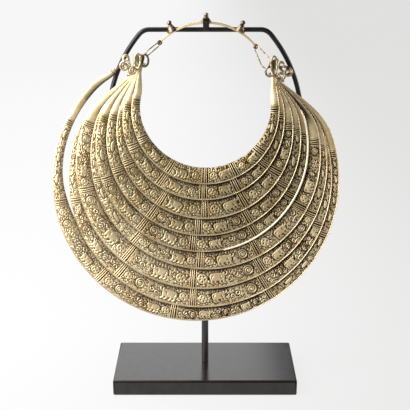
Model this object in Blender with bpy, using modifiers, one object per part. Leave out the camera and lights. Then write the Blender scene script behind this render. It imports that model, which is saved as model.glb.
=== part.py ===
# A bib necklace of nine graduated silver torque rings, shown on its display stand.
# Metres, +Z up. The origin is the middle of the base plate's underside and the front faces -Y.

from math import acos, asin, cos, pi, radians, sin, sqrt

import bmesh
import bpy
from mathutils import Matrix, Vector

# Clearance between pieces that touch on the real necklace
GAP = 0.0003
# Play that an interlocked wire has round another
PLAY = 0.0006

# Stand: a plate, a post, and a bent rod that ends in a hoop behind the rings
BASE_WIDTH = 0.185
BASE_DEPTH = 0.096
BASE_THICKNESS = 0.016
BASE_EDGE = 0.0008
POST_DIAMETER = 0.007
ROD_DIAMETER = 0.0047
BAR_HEIGHT = 0.360
BAR_HALF_LENGTH = 0.053
BEND_DROP = 0.005
FLANK_RADIUS = 0.133
HOOP_HALF_WIDTH = 0.094
HOOP_HEIGHT = 0.270
HOOK_WIDTH = 0.006
HOOK_THICKNESS = 0.0014
HOOK_LIP = 0.004
HOOK_FOOT = 0.002

# Neck strip: a flat band bent to the neck, with a pierced eye at each end and three knobs
STRIP_RADIUS = 0.062
STRIP_TOP = 0.3678
STRIP_OFFSET = 0.001
STRIP_THICKNESS = 0.0013
STRIP_WIDTH = 0.006
STRIP_END_WIDTH = 0.0020
STRIP_LEFT = radians(46)
STRIP_RIGHT = radians(48.5)
EYE_RADIUS = 0.0023
EYE_WIRE = 0.0005
KNOB_HEIGHT = 0.0095
KNOB_FOOT = 0.0033
KNOB_BALL = 0.0019
KNOB_ANGLES = (radians(-31), 0.0, radians(31))
KNOB_LEAN = 0.65

# Stack of rings: parallel planes that lean forward a little below the gathered tips
GATHER_HEIGHT = 0.330
LEAN = radians(3)
RING_PITCH = 0.0022
PIN_SLOT = 0.0015
BAND_WALL = 0.001
BAND_WIDTH = 0.020
TIP_WIDTH = 0.0034
FIRST_RADIUS = 0.070
LAST_RADIUS = 0.141
FIRST_DROP = 0.1157
LAST_DROP = 0.261
SWING = -0.009
# Section of a band, as shares of its width
CROWN = 0.080
TILT = 0.075
RIM = 0.032
# Raised collars that part the decorated panels, and the swell of a panel between two of them
COLLAR_WIDTH = 0.005
COLLAR_RISE = 0.0006
PANEL_SWELL = 0.25

# A row for each ring, from the smallest, which lies in front, to the largest.
# radius and drop are shares of the way from the first ring's size to the last one's.
# swing is a share of SWING and width one of BAND_WIDTH. flank is the share of the width
# that is left at the sides, and taper the power by which the width falls to it.
# The leave angles are where the arc ends and the tails begin.
RING_COLUMNS = (
    "radius", "drop", "swing", "width", "flank", "taper", "leave_left", "leave_right"
)
RING_ROWS = (
    (0.000, 0.000, -0.05, 0.78, 0.46, 1.0, 104, 100),
    (0.100, 0.111, 0.13, 0.97, 0.50, 1.0, 106, 102),
    (0.205, 0.244, 0.00, 1.04, 0.50, 1.0, 108, 104),
    (0.330, 0.365, 0.12, 1.02, 0.52, 1.0, 110, 106),
    (0.460, 0.485, 0.31, 0.97, 0.54, 1.0, 112, 107),
    (0.587, 0.613, -0.08, 1.12, 0.56, 1.0, 113, 107),
    (0.739, 0.759, 0.36, 1.20, 0.59, 1.0, 115, 109),
    (0.832, 0.897, 0.51, 1.10, 0.58, 1.0, 114, 111),
    (1.000, 1.000, 1.00, 1.28, 0.24, 0.6, 128, 114),
)
RINGS = tuple(dict(zip(RING_COLUMNS, row)) for row in RING_ROWS)
# Angle of each collar from straight down, in degrees, on the first ring and on the last one
COLLAR_TURNS = ((-99, -117), (-66, -84), (-31, -44), (0, -8), (27, 32), (56, 70), (93, 103))

# Section points of a band, from the inner edge over the front to the outer edge.
# across is a share of the half width, rise one of the crown, rim one of the rim's bead
# and collar one of the collar's rise.
SECTION_COLUMNS = ("across", "rise", "rim", "collar")
SECTION_ROWS = (
    (-1.00, 0.00, 0.0, 0.3),
    (-0.50, 0.75, 0.0, 1.0),
    (0.15, 0.98, 0.0, 1.0),
    (0.82, 0.34, 0.0, 1.0),
    (0.93, 0.14, 1.0, 0.3),
    (1.00, 0.00, 0.5, 0.0),
)
SECTION = tuple(dict(zip(SECTION_COLUMNS, row)) for row in SECTION_ROWS)
# Of these, the ones that the hollow back follows, from the outer edge to the inner one
BACK = (5, 2, 0)

# Each side's bundle of gathered tips. x grows to the wearer's left and t upward in the
# plane of the rings, from the gather height. The pin is the oval ring that the link pulls.
SIDES = {
    "left": {
        "sign": -1,
        "throat_x": -0.0625,
        "throat_t": -0.007,
        "tip_x": -0.0620,
        "tip_t": 0.008,
        "tips": 8,
        "tip_spread": 0.0085,
        "pin_x": -0.0570,
        "pin_t": 0.0025,
        "pin_height": 0.014,
        "link_roll": radians(50),
        "link_near": 0.0028,
        "link_far": 0.0031,
        "coil_x": -0.0682,
        "coil_t": -0.0075,
        "lobe_out": 0.0094,
        "eyelet_out": 0.0075,
        "hairpin_x": -0.0605,
        "hairpin_height": 0.0205,
    },
    "right": {
        "sign": 1,
        "throat_x": 0.0657,
        "throat_t": -0.015,
        "tip_x": 0.0665,
        "tip_t": 0.003,
        "tips": 9,
        "tip_spread": 0.0062,
        "pin_x": 0.0610,
        "pin_t": -0.0080,
        "pin_height": 0.012,
        "link_roll": radians(50),
        "link_near": 0.0037,
        "link_far": 0.0052,
        "coil_x": 0.0733,
        "coil_t": -0.0130,
        "lobe_out": 0.0084,
        "eyelet_out": -0.0008,
        "hairpin_x": 0.0620,
        "hairpin_height": 0.0235,
    },
}
THROAT_SPREAD = 0.0024
# How firmly a tail turns upward as it enters the bundle
THROAT_BEND = 0.012
# How firmly a tail keeps to the arc that it leaves, as a share of its length
TAIL_PULL = 0.9
# The left tip of the last ring stays outside the bundle and lies across the bent rod
LOOSE_TIP = {"x": -0.0850, "t": -0.0085, "turn": radians(48)}

# Wire parts that hold the bundles
WIRE = 0.0006
LINK_WIRE = 0.00045
PIN_WIDTH = 0.009
BINDING_CORNER = 0.0009
COIL_WIRE = 0.00055
COIL_RADIUS = 0.0037
COIL_TURNS = 1.6
COIL_START = 0.0009
LOBE_RADIUS = 0.0028
LOBE_TURNS = 1.1
LOBE_UP = 0.0035
EYELET_RADIUS = 0.0018
EYELET_UP = 0.0122
HAIRPIN_WIDTH = 0.0054
HAIRPIN_DROP = 0.0077
# The hairpin's route: across as a share of its width, away from the neck, and up as a share
# of its height
HAIRPIN_ROUTE = (
    (2.30, 0.00),
    (1.18, 0.12),
    (0.38, 0.34),
    (0.02, 0.64),
    (0.08, 0.90),
    (0.50, 1.00),
    (0.93, 0.88),
    (1.00, 0.62),
    (1.02, 0.42),
)


def clear_scene():
    for obj in list(bpy.data.objects):
        bpy.data.objects.remove(obj, do_unlink=True)


def make_collection(name):
    collection = bpy.data.collections.new(name)
    bpy.context.scene.collection.children.link(collection)
    return collection


def make_material(name, colour, metallic, roughness):
    material = bpy.data.materials.new(name)
    material.use_nodes = True
    shader = material.node_tree.nodes["Principled BSDF"]
    shader.inputs["Base Color"].default_value = (*colour, 1.0)
    shader.inputs["Metallic"].default_value = metallic
    shader.inputs["Roughness"].default_value = roughness
    return material


def between(first, last, share):
    return first + (last - first) * share


def finish_mesh(obj, material, angle=35):
    obj.data.materials.clear()
    obj.data.materials.append(material)
    obj.data.shade_smooth()
    obj.data.set_sharp_from_angle(angle=radians(angle))


def mesh_object(name, bm, collection, material):
    bmesh.ops.recalc_face_normals(bm, faces=bm.faces)
    mesh = bpy.data.meshes.new(name)
    bm.to_mesh(mesh)
    bm.free()
    obj = bpy.data.objects.new(name, mesh)
    collection.objects.link(obj)
    finish_mesh(obj, material)
    return obj


def loft(sections):
    """A closed body through sections that all have the same number of points."""
    bm = bmesh.new()
    rows = [[bm.verts.new(point) for point in section] for section in sections]
    count = len(rows[0])
    for row, following in zip(rows, rows[1:]):
        for i in range(count):
            j = (i + 1) % count
            bm.faces.new((row[i], row[j], following[j], following[i]))
    bm.faces.new(rows[0])
    bm.faces.new(rows[-1])
    return bm


def wire_object(name, points, radius, collection, material, closed=False, fineness=1):
    curve = bpy.data.curves.new(name, "CURVE")
    curve.dimensions = "3D"
    curve.bevel_depth = radius
    curve.bevel_resolution = fineness
    curve.use_fill_caps = True
    spline = curve.splines.new("POLY")
    spline.points.add(len(points) - 1)
    for slot, point in zip(spline.points, points):
        slot.co = (*point, 1.0)
    spline.use_cyclic_u = closed
    spline.use_smooth = True
    curve.materials.append(material)
    obj = bpy.data.objects.new(name, curve)
    collection.objects.link(obj)
    return obj


# Stand


def base(collection, material):
    bm = bmesh.new()
    bmesh.ops.create_cube(bm, size=1.0)
    bmesh.ops.scale(bm, vec=(BASE_WIDTH, BASE_DEPTH, BASE_THICKNESS), verts=bm.verts)
    bmesh.ops.translate(bm, vec=(0, 0, BASE_THICKNESS / 2), verts=bm.verts)
    obj = mesh_object("stand_base", bm, collection, material)
    edge = obj.modifiers.new("edges", "BEVEL")
    edge.width = BASE_EDGE
    edge.segments = 2
    return obj


def post(collection, material):
    bottom = BASE_THICKNESS + GAP
    top = HOOP_HEIGHT - HOOP_HALF_WIDTH - ROD_DIAMETER / 2 - GAP
    bm = bmesh.new()
    bmesh.ops.create_cone(
        bm,
        cap_ends=True,
        segments=20,
        radius1=POST_DIAMETER / 2,
        radius2=POST_DIAMETER / 2,
        depth=top - bottom,
    )
    bmesh.ops.translate(bm, vec=(0, 0, (top + bottom) / 2), verts=bm.verts)
    return mesh_object("stand_post", bm, collection, material)


def arch_route():
    """Right half of the bent rod, from the middle of the top bar down to the post."""
    centre_x = HOOP_HALF_WIDTH - FLANK_RADIUS
    flank_top = asin((BAR_HEIGHT - BEND_DROP - HOOP_HEIGHT) / FLANK_RADIUS)

    def flank(angle):
        x = centre_x + FLANK_RADIUS * cos(angle)
        return Vector((x, HOOP_HEIGHT + FLANK_RADIUS * sin(angle)))

    bar_end = Vector((BAR_HALF_LENGTH, BAR_HEIGHT))
    bend_end = flank(flank_top)
    corner = Vector((bend_end.x - BEND_DROP * sin(flank_top) / cos(flank_top), BAR_HEIGHT))
    points = [Vector((0, BAR_HEIGHT))]
    for i in range(6):
        s = i / 5
        points.append(bar_end * (1 - s) ** 2 + corner * 2 * s * (1 - s) + bend_end * s * s)
    for i in range(1, 7):
        points.append(flank(flank_top * (1 - i / 6)))
    for i in range(1, 11):
        angle = pi / 2 * i / 10
        x = HOOP_HALF_WIDTH * cos(angle)
        points.append(Vector((x, HOOP_HEIGHT - HOOP_HALF_WIDTH * sin(angle))))
    return points


def arch(collection, material):
    right = arch_route()
    left = [Vector((-point.x, point.y)) for point in reversed(right[1:-1])]
    route = [(point.x, 0, point.y) for point in right + left]
    return wire_object(
        "stand_arch", route, ROD_DIAMETER / 2, collection, material, closed=True, fineness=2
    )


def hook(collection, material):
    """A bent tab on the top bar. The neck strip lies on its floor, behind its lip."""
    back = -ROD_DIAMETER / 2 - GAP
    lip = 2 * strip_y() - back
    front = lip - HOOK_THICKNESS
    floor = STRIP_TOP - STRIP_THICKNESS - GAP - hook_sag()
    outline = (
        (back, BAR_HEIGHT - HOOK_FOOT / 2),
        (back, floor),
        (lip, floor),
        (lip, STRIP_TOP + HOOK_LIP),
        (front, STRIP_TOP + HOOK_LIP),
        (front, floor - HOOK_THICKNESS),
        (back - HOOK_THICKNESS, floor - HOOK_THICKNESS),
        (back - HOOK_THICKNESS, BAR_HEIGHT - HOOK_FOOT / 2),
    )
    sections = []
    for x in (-HOOK_WIDTH / 2, HOOK_WIDTH / 2):
        sections.append([(x + STRIP_OFFSET, y, z) for y, z in outline])
    return mesh_object("stand_hook", loft(sections), collection, material)


def hook_sag():
    """How far the curved strip dips across the hook's width."""
    inner = STRIP_RADIUS - STRIP_THICKNESS
    return inner - sqrt(inner**2 - (HOOK_WIDTH / 2) ** 2)


# Neck strip


def strip_y():
    return -ROD_DIAMETER / 2 - 2 * GAP - max(STRIP_WIDTH / 2, KNOB_FOOT)


def strip_point(angle, radius):
    x = STRIP_OFFSET + radius * sin(angle)
    z = STRIP_TOP - STRIP_RADIUS + radius * cos(angle)
    return Vector((x, strip_y(), z))


def eye_centre(side):
    angle = STRIP_RIGHT if side["sign"] > 0 else -STRIP_LEFT
    return strip_point(angle, STRIP_RADIUS - STRIP_THICKNESS / 2)


def strip_sections():
    reach = EYE_RADIUS / STRIP_RADIUS
    first = -STRIP_LEFT + reach
    last = STRIP_RIGHT - reach
    sections = []
    for i in range(25):
        angle = between(first, last, i / 24)
        share = abs(angle) / max(-first, last)
        half = between(STRIP_WIDTH, STRIP_END_WIDTH, share**1.6) / 2
        outer = strip_point(angle, STRIP_RADIUS)
        inner = strip_point(angle, STRIP_RADIUS - STRIP_THICKNESS)
        across = Vector((0, half, 0))
        sections.append([outer - across, outer + across, inner + across, inner - across])
    return sections


def knob_profile():
    """Half outline of a knob, from its top down its flared foot to inside the strip."""
    ball_z = KNOB_HEIGHT - KNOB_BALL
    points = []
    for i in range(6):
        angle = radians(90 - 28 * i)
        points.append((KNOB_BALL * cos(angle), ball_z + KNOB_BALL * sin(angle)))
    neck = KNOB_BALL * 0.62
    points.append((neck, ball_z - KNOB_BALL * 1.1))
    points.append((between(neck, KNOB_FOOT, 0.25), KNOB_HEIGHT * 0.30))
    points.append((KNOB_FOOT, KNOB_HEIGHT * 0.09))
    points.append((KNOB_FOOT, -STRIP_THICKNESS / 4))
    points.append((0.0, -STRIP_THICKNESS / 4))
    points[0] = (0.0, KNOB_HEIGHT)
    return points


def helper(obj, helpers):
    for collection in list(obj.users_collection):
        collection.objects.unlink(obj)
    helpers.objects.link(obj)
    obj.hide_render = True
    obj.display_type = "WIRE"
    return obj


def knob(angle, helpers, material):
    bm = bmesh.new()
    verts = [bm.verts.new((x, 0, z)) for x, z in knob_profile()]
    for start, end in zip(verts, verts[1:]):
        bm.edges.new((start, end))
    mesh = bpy.data.meshes.new("knob_form")
    bm.to_mesh(mesh)
    bm.free()
    obj = bpy.data.objects.new("knob_form", mesh)
    helpers.objects.link(obj)
    turn = obj.modifiers.new("turned", "SCREW")
    turn.axis = "Z"
    turn.angle = 2 * pi
    turn.steps = 12
    turn.render_steps = 12
    turn.use_merge_vertices = True
    turn.merge_threshold = 0.00001
    obj.data.materials.append(material)
    foot = strip_point(angle, STRIP_RADIUS)
    obj.matrix_world = Matrix.Translation(foot) @ Matrix.Rotation(angle * KNOB_LEAN, 4, "Y")
    return helper(obj, helpers)


def eye(side, helpers, material):
    bpy.ops.mesh.primitive_torus_add(
        major_radius=EYE_RADIUS,
        minor_radius=EYE_WIRE,
        major_segments=16,
        minor_segments=6,
        location=eye_centre(side),
        rotation=(pi / 2, 0, 0),
    )
    obj = bpy.context.object
    obj.name = "eye_form"
    obj.data.materials.append(material)
    return helper(obj, helpers)


def neck_strip(collection, helpers, material):
    obj = mesh_object("neck_strip", loft(strip_sections()), collection, material)
    soldered = [knob(angle, helpers, material) for angle in KNOB_ANGLES]
    soldered += [eye(side, helpers, material) for side in SIDES.values()]
    for piece in soldered:
        union = obj.modifiers.new("soldered", "BOOLEAN")
        union.operation = "UNION"
        union.solver = "EXACT"
        union.object = piece
    return obj


# Rings


def stack_back():
    """Depth of the rear ring's plane at the gather height, clear of the bent rod."""
    return -ROD_DIAMETER / 2 - 2 * GAP - BAND_WALL - TILT * TIP_WIDTH


def on_bib(x, t, n):
    """World point of x across, t up the plane of the rings and n forward of the rear ring."""
    y = stack_back() + t * sin(LEAN) - n * cos(LEAN)
    return Vector((x, y, GATHER_HEIGHT + t * cos(LEAN) + n * sin(LEAN)))


def layer(index):
    """How far forward ring index lies. The first four leave a slot for the pins."""
    slot = PIN_SLOT if index < 4 else 0.0
    return (len(RINGS) - 1 - index) * RING_PITCH + slot


def tip_ends(index, side):
    """Where a ring's tail enters its bundle, and where its tip ends."""
    if index >= side["tips"]:
        tip = Vector((LOOSE_TIP["x"], LOOSE_TIP["t"]))
        back = Vector((-sin(LOOSE_TIP["turn"]), -cos(LOOSE_TIP["turn"])))
        return tip + back * 2 * TIP_WIDTH, tip
    share = index / (side["tips"] - 1) - 0.5
    throat = Vector((side["throat_x"] + side["sign"] * THROAT_SPREAD * share, side["throat_t"]))
    tip = Vector((side["tip_x"] + side["sign"] * side["tip_spread"] * share, side["tip_t"]))
    return throat, tip


def hermite(start, start_pull, end, end_pull, s):
    a = 2 * s**3 - 3 * s**2 + 1
    b = s**3 - 2 * s**2 + s
    c = -2 * s**3 + 3 * s**2
    d = s**3 - s**2
    return start * a + start_pull * b + end * c + end_pull * d


def flank_width(ring, angle):
    """Width of a ring's band at an angle from straight down."""
    swell = (cos(angle) + sqrt(cos(angle) ** 2 + 0.03)) / (1 + sqrt(1.03))
    return BAND_WIDTH * ring["width"] * between(ring["flank"], 1.0, swell ** ring["taper"])


def arc_station(ring, radius, centre, angle, crown, collar):
    out = Vector((sin(angle), -cos(angle)))
    width = flank_width(ring, angle)
    return {
        "place": centre + out * (radius - width / 2),
        "out": out,
        "width": width,
        "crown": crown,
        "collar": collar,
    }


def arc_stations(index, ring, radius, centre):
    """Stations along the decorated arc: three on each collar and three on each panel."""
    share = index / (len(RINGS) - 1)
    half = COLLAR_WIDTH / 2 / radius
    turns = [radians(between(first, last, share)) for first, last in COLLAR_TURNS]
    marks = [(-radians(ring["leave_left"]), 1.0, 0.0)]
    for i, turn in enumerate(turns):
        marks += [(turn - half, 1.0, 0.0), (turn, 1.0, COLLAR_RISE), (turn + half, 1.0, 0.0)]
        if i + 1 < len(turns):
            start = turn + half
            end = turns[i + 1] - half
            for s in (0.22, 0.5, 0.78):
                marks.append((between(start, end, s), 1 + PANEL_SWELL * sin(pi * s), 0.0))
    marks.append((radians(ring["leave_right"]), 1.0, 0.0))
    return [arc_station(ring, radius, centre, *mark) for mark in marks]


def tail_stations(index, side, last):
    """Stations from the end of the arc into the bundle and up to the ring's tip."""
    throat, tip = tip_ends(index, side)
    start = last["place"]
    along = Vector((-last["out"].y, last["out"].x)) * side["sign"]
    rise = (tip - throat).normalized()
    pull = along * (throat - start).length * TAIL_PULL
    stations = []
    for s in (0.12, 0.27, 0.43, 0.6, 0.78, 0.9, 1.0):
        place = hermite(start, pull, throat, rise * THROAT_BEND, s)
        ahead = hermite(start, pull, throat, rise * THROAT_BEND, s + 0.001)
        heading = (ahead - place).normalized() if s < 1 else rise
        fade = s * s * (3 - 2 * s)
        width = between(last["width"], TIP_WIDTH, fade)
        stations.append((place, heading, width))
    stations.append((tip - rise * TIP_WIDTH / 2, rise, TIP_WIDTH))
    stations.append((tip, rise, TIP_WIDTH * 0.45))
    return [
        {
            "place": place,
            "out": Vector((heading.y, -heading.x)) * side["sign"],
            "width": width,
            "crown": 1.0,
            "collar": 0.0,
        }
        for place, heading, width in stations
    ]


def band_section(station, depth):
    """Points round a band: convex front with a beaded outer rim, and a hollow back."""
    width = station["width"]
    share = min(1.0, max(0.0, width / TIP_WIDTH - 1))
    tilt = TILT * width * share
    crown = CROWN * width * station["crown"]
    rim = RIM * width * share

    def at(row, wall):
        offset = station["out"] * row["across"] * width / 2
        rise = depth + tilt * row["across"] + crown * row["rise"] - wall
        if not wall:
            rise += rim * row["rim"] + station["collar"] * row["collar"]
        return on_bib(station["place"].x + offset.x, station["place"].y + offset.y, rise)

    front = [at(row, 0.0) for row in SECTION]
    back = [at(SECTION[i], BAND_WALL) for i in BACK]
    return front + back


def torque(index, collection, material):
    ring = RINGS[index]
    radius = between(FIRST_RADIUS, LAST_RADIUS, ring["radius"])
    drop = between(FIRST_DROP, LAST_DROP, ring["drop"])
    centre = Vector((SWING * ring["swing"], radius - drop))
    arc = arc_stations(index, ring, radius, centre)
    left = tail_stations(index, SIDES["left"], arc[0])
    right = tail_stations(index, SIDES["right"], arc[-1])
    stations = left[::-1] + arc + right
    sections = [band_section(station, layer(index)) for station in stations]
    return mesh_object(f"torque_{index + 1}", loft(sections), collection, material)


# Wire parts


def pin_depth():
    """Middle of the slot between the fourth ring's tip and the fifth one's."""
    front = layer(3) - BAND_WALL
    back = layer(4) + CROWN * TIP_WIDTH
    return (front + back) / 2


def pin_point(side, angle):
    x = side["pin_x"] + PIN_WIDTH / 2 * cos(angle)
    t = side["pin_t"] + side["pin_height"] / 2 * sin(angle)
    return on_bib(x, t, pin_depth())


def pin(name, side, collection, material):
    points = [pin_point(side, 2 * pi * i / 18) for i in range(18)]
    return wire_object(name, points, WIRE, collection, material, closed=True)


def link(name, side, collection, material):
    """A long loop with unlike ends, through the strip's eye and round the pin."""
    eye_at = eye_centre(side)
    pin_at = on_bib(side["pin_x"], side["pin_t"], pin_depth())
    way = Vector((pin_at.x - eye_at.x, 0, pin_at.z - eye_at.z)).normalized()
    half_x = PIN_WIDTH / 2
    half_t = side["pin_height"] / 2
    reach = sqrt((half_x * way.x) ** 2 + (half_t * way.z) ** 2)
    eye_wire = eye_at + way * EYE_RADIUS
    pin_wire = on_bib(
        side["pin_x"] - half_x**2 * way.x / reach,
        side["pin_t"] - half_t**2 * way.z / reach,
        pin_depth(),
    )
    toward = (pin_wire - eye_wire).normalized()
    start = eye_wire - toward * (EYE_WIRE + LINK_WIRE + PLAY)
    end = pin_wire + toward * (WIRE + LINK_WIRE + PLAY)
    flat = toward.cross(Vector((0, 1, 0))).normalized()
    deep = toward.cross(flat).normalized() * side["sign"]
    sideways = flat * cos(side["link_roll"]) + deep * sin(side["link_roll"])
    near = side["link_near"]
    far = side["link_far"]
    span = (end - start).length - near - far
    turn = acos((near - far) / span)
    near_centre = start + toward * near
    far_centre = near_centre + toward * span
    points = []
    for i in range(9):
        angle = between(turn, 2 * pi - turn, i / 8)
        points.append(near_centre + (toward * cos(angle) + sideways * sin(angle)) * near)
    for i in range(9):
        angle = between(-turn, turn, i / 8)
        points.append(far_centre + (toward * cos(angle) + sideways * sin(angle)) * far)
    return wire_object(name, points, LINK_WIRE, collection, material, closed=True)


def binding_frame(side):
    """Height and x reach of the wire round a bundle. It passes through the pin's oval."""
    reach = GAP + WIRE + TIP_WIDTH / 2
    inner = between(side["throat_x"], side["tip_x"], 0.5)
    for _ in range(4):
        offset = (inner - side["pin_x"]) / (PIN_WIDTH / 2)
        pin_low = side["pin_t"] - side["pin_height"] / 2 * sqrt(max(0.0, 1 - offset**2))
        t = pin_low + 2 * WIRE + 2 * PLAY
        share = (t - side["throat_t"]) / (side["tip_t"] - side["throat_t"])
        spread = between(THROAT_SPREAD, side["tip_spread"], share) / 2
        middle = between(side["throat_x"], side["tip_x"], share)
        inner = middle - side["sign"] * (spread + reach)
    outer = middle + side["sign"] * (spread + reach)
    return t, min(inner, outer), max(inner, outer)


def front_depth():
    """Depth of the binding's front run, clear of the first ring's tip."""
    return layer(0) + CROWN * TIP_WIDTH + GAP + WIRE


def binding(name, side, collection, material):
    t, low_x, high_x = binding_frame(side)
    back = layer(side["tips"] - 1) - BAND_WALL - GAP - WIRE
    front = front_depth()
    corner = BINDING_CORNER
    corners = (
        (high_x - corner, front - corner, 0),
        (low_x + corner, front - corner, 90),
        (low_x + corner, back + corner, 180),
        (high_x - corner, back + corner, 270),
    )
    points = []
    for x, n, first in corners:
        for i in range(5):
            angle = radians(first + 90 * i / 4)
            points.append(on_bib(x + corner * cos(angle), t, n + corner * sin(angle)))
    return wire_object(name, points, WIRE, collection, material, closed=True)


def hairpin_depth():
    return front_depth() + WIRE + GAP + COIL_WIRE


def spiral(centre, start, end, turns, last_angle, direction, steps):
    """Points of a flat spiral that reaches last_angle at its outer end."""
    points = []
    for i in range(steps + 1):
        s = i / steps
        angle = last_angle - direction * 2 * pi * turns * (1 - s)
        radius = between(start, end, s)
        points.append(centre + Vector((cos(angle), sin(angle))) * radius)
    return points


def coil(name, side, collection, material):
    """One wire with two spirals and an eyelet between them, laid flat over the hairpin."""
    centre = Vector((0, 0))
    lobe = Vector((side["lobe_out"], LOBE_UP))
    eyelet = Vector((side["eyelet_out"], EYELET_UP))
    first = spiral(centre, COIL_START, COIL_RADIUS, COIL_TURNS, 0, 1, 18)
    last = spiral(lobe, COIL_START, LOBE_RADIUS, LOBE_TURNS, 0, 1, 12)[::-1]
    loop = []
    for i in range(9):
        angle = radians(200 - 220 * i / 8)
        loop.append(eyelet + Vector((cos(angle), sin(angle))) * EYELET_RADIUS)
    up = Vector((0, 1)) * EYELET_UP
    down = Vector((0, -1)) * (EYELET_UP - LOBE_UP)
    rising = [hermite(first[-1], up, loop[0], up * 0.6, i / 5) for i in range(1, 5)]
    falling = [hermite(loop[-1], down, last[0], down, i / 5) for i in range(1, 5)]
    route = first + rising + loop + falling + last
    depth = hairpin_depth() + 2 * COIL_WIRE + GAP
    points = []
    for place in route:
        x = side["coil_x"] + side["sign"] * place.x
        points.append(on_bib(x, side["coil_t"] + place.y, depth))
    return wire_object(name, points, COIL_WIRE, collection, material)


def hairpin(name, side, collection, material):
    """A wire bent over the front of a bundle, whose longer leg runs under the coil."""
    bottom = side["coil_t"] + COIL_RADIUS - HAIRPIN_DROP
    marks = []
    for across, up in HAIRPIN_ROUTE:
        x = side["hairpin_x"] + side["sign"] * across * HAIRPIN_WIDTH
        marks.append(Vector((x, bottom + up * side["hairpin_height"])))
    points = []
    for i in range(len(marks) - 1):
        before = marks[max(i - 1, 0)]
        after = marks[min(i + 2, len(marks) - 1)]
        start_pull = (marks[i + 1] - before) / 2
        end_pull = (after - marks[i]) / 2
        for j in range(3):
            points.append(hermite(marks[i], start_pull, marks[i + 1], end_pull, j / 3))
    points.append(marks[-1])
    route = [on_bib(point.x, point.y, hairpin_depth()) for point in points]
    return wire_object(name, route, COIL_WIRE, collection, material)


def main():
    clear_scene()
    parts = make_collection("bib_necklace_on_stand")
    helpers = make_collection("helpers")
    steel = make_material("black_painted_steel", (0.012, 0.011, 0.011), 0.0, 0.38)
    silver = make_material("aged_silver", (0.62, 0.54, 0.40), 1.0, 0.32)
    wire = make_material("silver_wire", (0.46, 0.38, 0.27), 1.0, 0.36)

    base(parts, steel)
    post(parts, steel)
    arch(parts, steel)
    hook(parts, steel)
    neck_strip(parts, helpers, silver)
    for index in range(len(RINGS)):
        torque(index, parts, silver)
    for where, side in SIDES.items():
        pin(f"pin_{where}", side, parts, wire)
        link(f"link_{where}", side, parts, wire)
        binding(f"binding_{where}", side, parts, wire)
        coil(f"coil_{where}", side, parts, wire)
        hairpin(f"hairpin_{where}", side, parts, wire)


main()
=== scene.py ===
from math import acos, asin, cos, pi, radians, sin, sqrt

import bmesh
import bpy
import numpy as np
from mathutils import Matrix, Vector


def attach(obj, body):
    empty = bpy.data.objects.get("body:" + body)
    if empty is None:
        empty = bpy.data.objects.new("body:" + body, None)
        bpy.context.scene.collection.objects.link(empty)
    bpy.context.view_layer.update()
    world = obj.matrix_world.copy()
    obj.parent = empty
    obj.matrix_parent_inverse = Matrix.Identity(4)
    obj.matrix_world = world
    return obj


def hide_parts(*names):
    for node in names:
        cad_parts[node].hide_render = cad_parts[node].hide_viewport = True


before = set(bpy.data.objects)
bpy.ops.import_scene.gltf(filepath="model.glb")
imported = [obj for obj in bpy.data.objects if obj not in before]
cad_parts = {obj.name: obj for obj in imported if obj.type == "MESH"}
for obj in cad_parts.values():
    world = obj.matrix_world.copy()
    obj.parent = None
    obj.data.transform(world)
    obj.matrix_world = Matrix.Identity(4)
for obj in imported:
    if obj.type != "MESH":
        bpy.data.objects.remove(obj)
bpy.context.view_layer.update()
body = "root"

# Small tools


def linear(code):
    # sRGB hex to linear colour
    parts = [int(code[i : i + 2], 16) / 255 for i in (1, 3, 5)]
    return (*[p / 12.92 if p <= 0.04045 else ((p + 0.055) / 1.055) ** 2.4 for p in parts], 1.0)


def between(first, last, share):
    return first + (last - first) * share


def smooth(low, high, x):
    s = np.clip((x - low) / (high - low), 0.0, 1.0)
    return s * s * (3 - 2 * s)


def addNode(tree, kind, settings=None, links=None, values=None):
    # settings: attributes of the node. values: its own sockets. links: its inputs from sockets.
    node = tree.nodes.new(kind)
    for key, value in (settings or {}).items():
        setattr(node, key, value)
    for key, value in (values or {}).items():
        node.inputs[key].default_value = value
    for key, source in (links or {}).items():
        tree.links.new(source, node.inputs[key])
    return node


def newMaterial(name):
    material = bpy.data.materials.new(name)
    material.use_nodes = True
    tree = material.node_tree
    return material, tree, tree.nodes["Principled BSDF"]


# Materials


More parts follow.
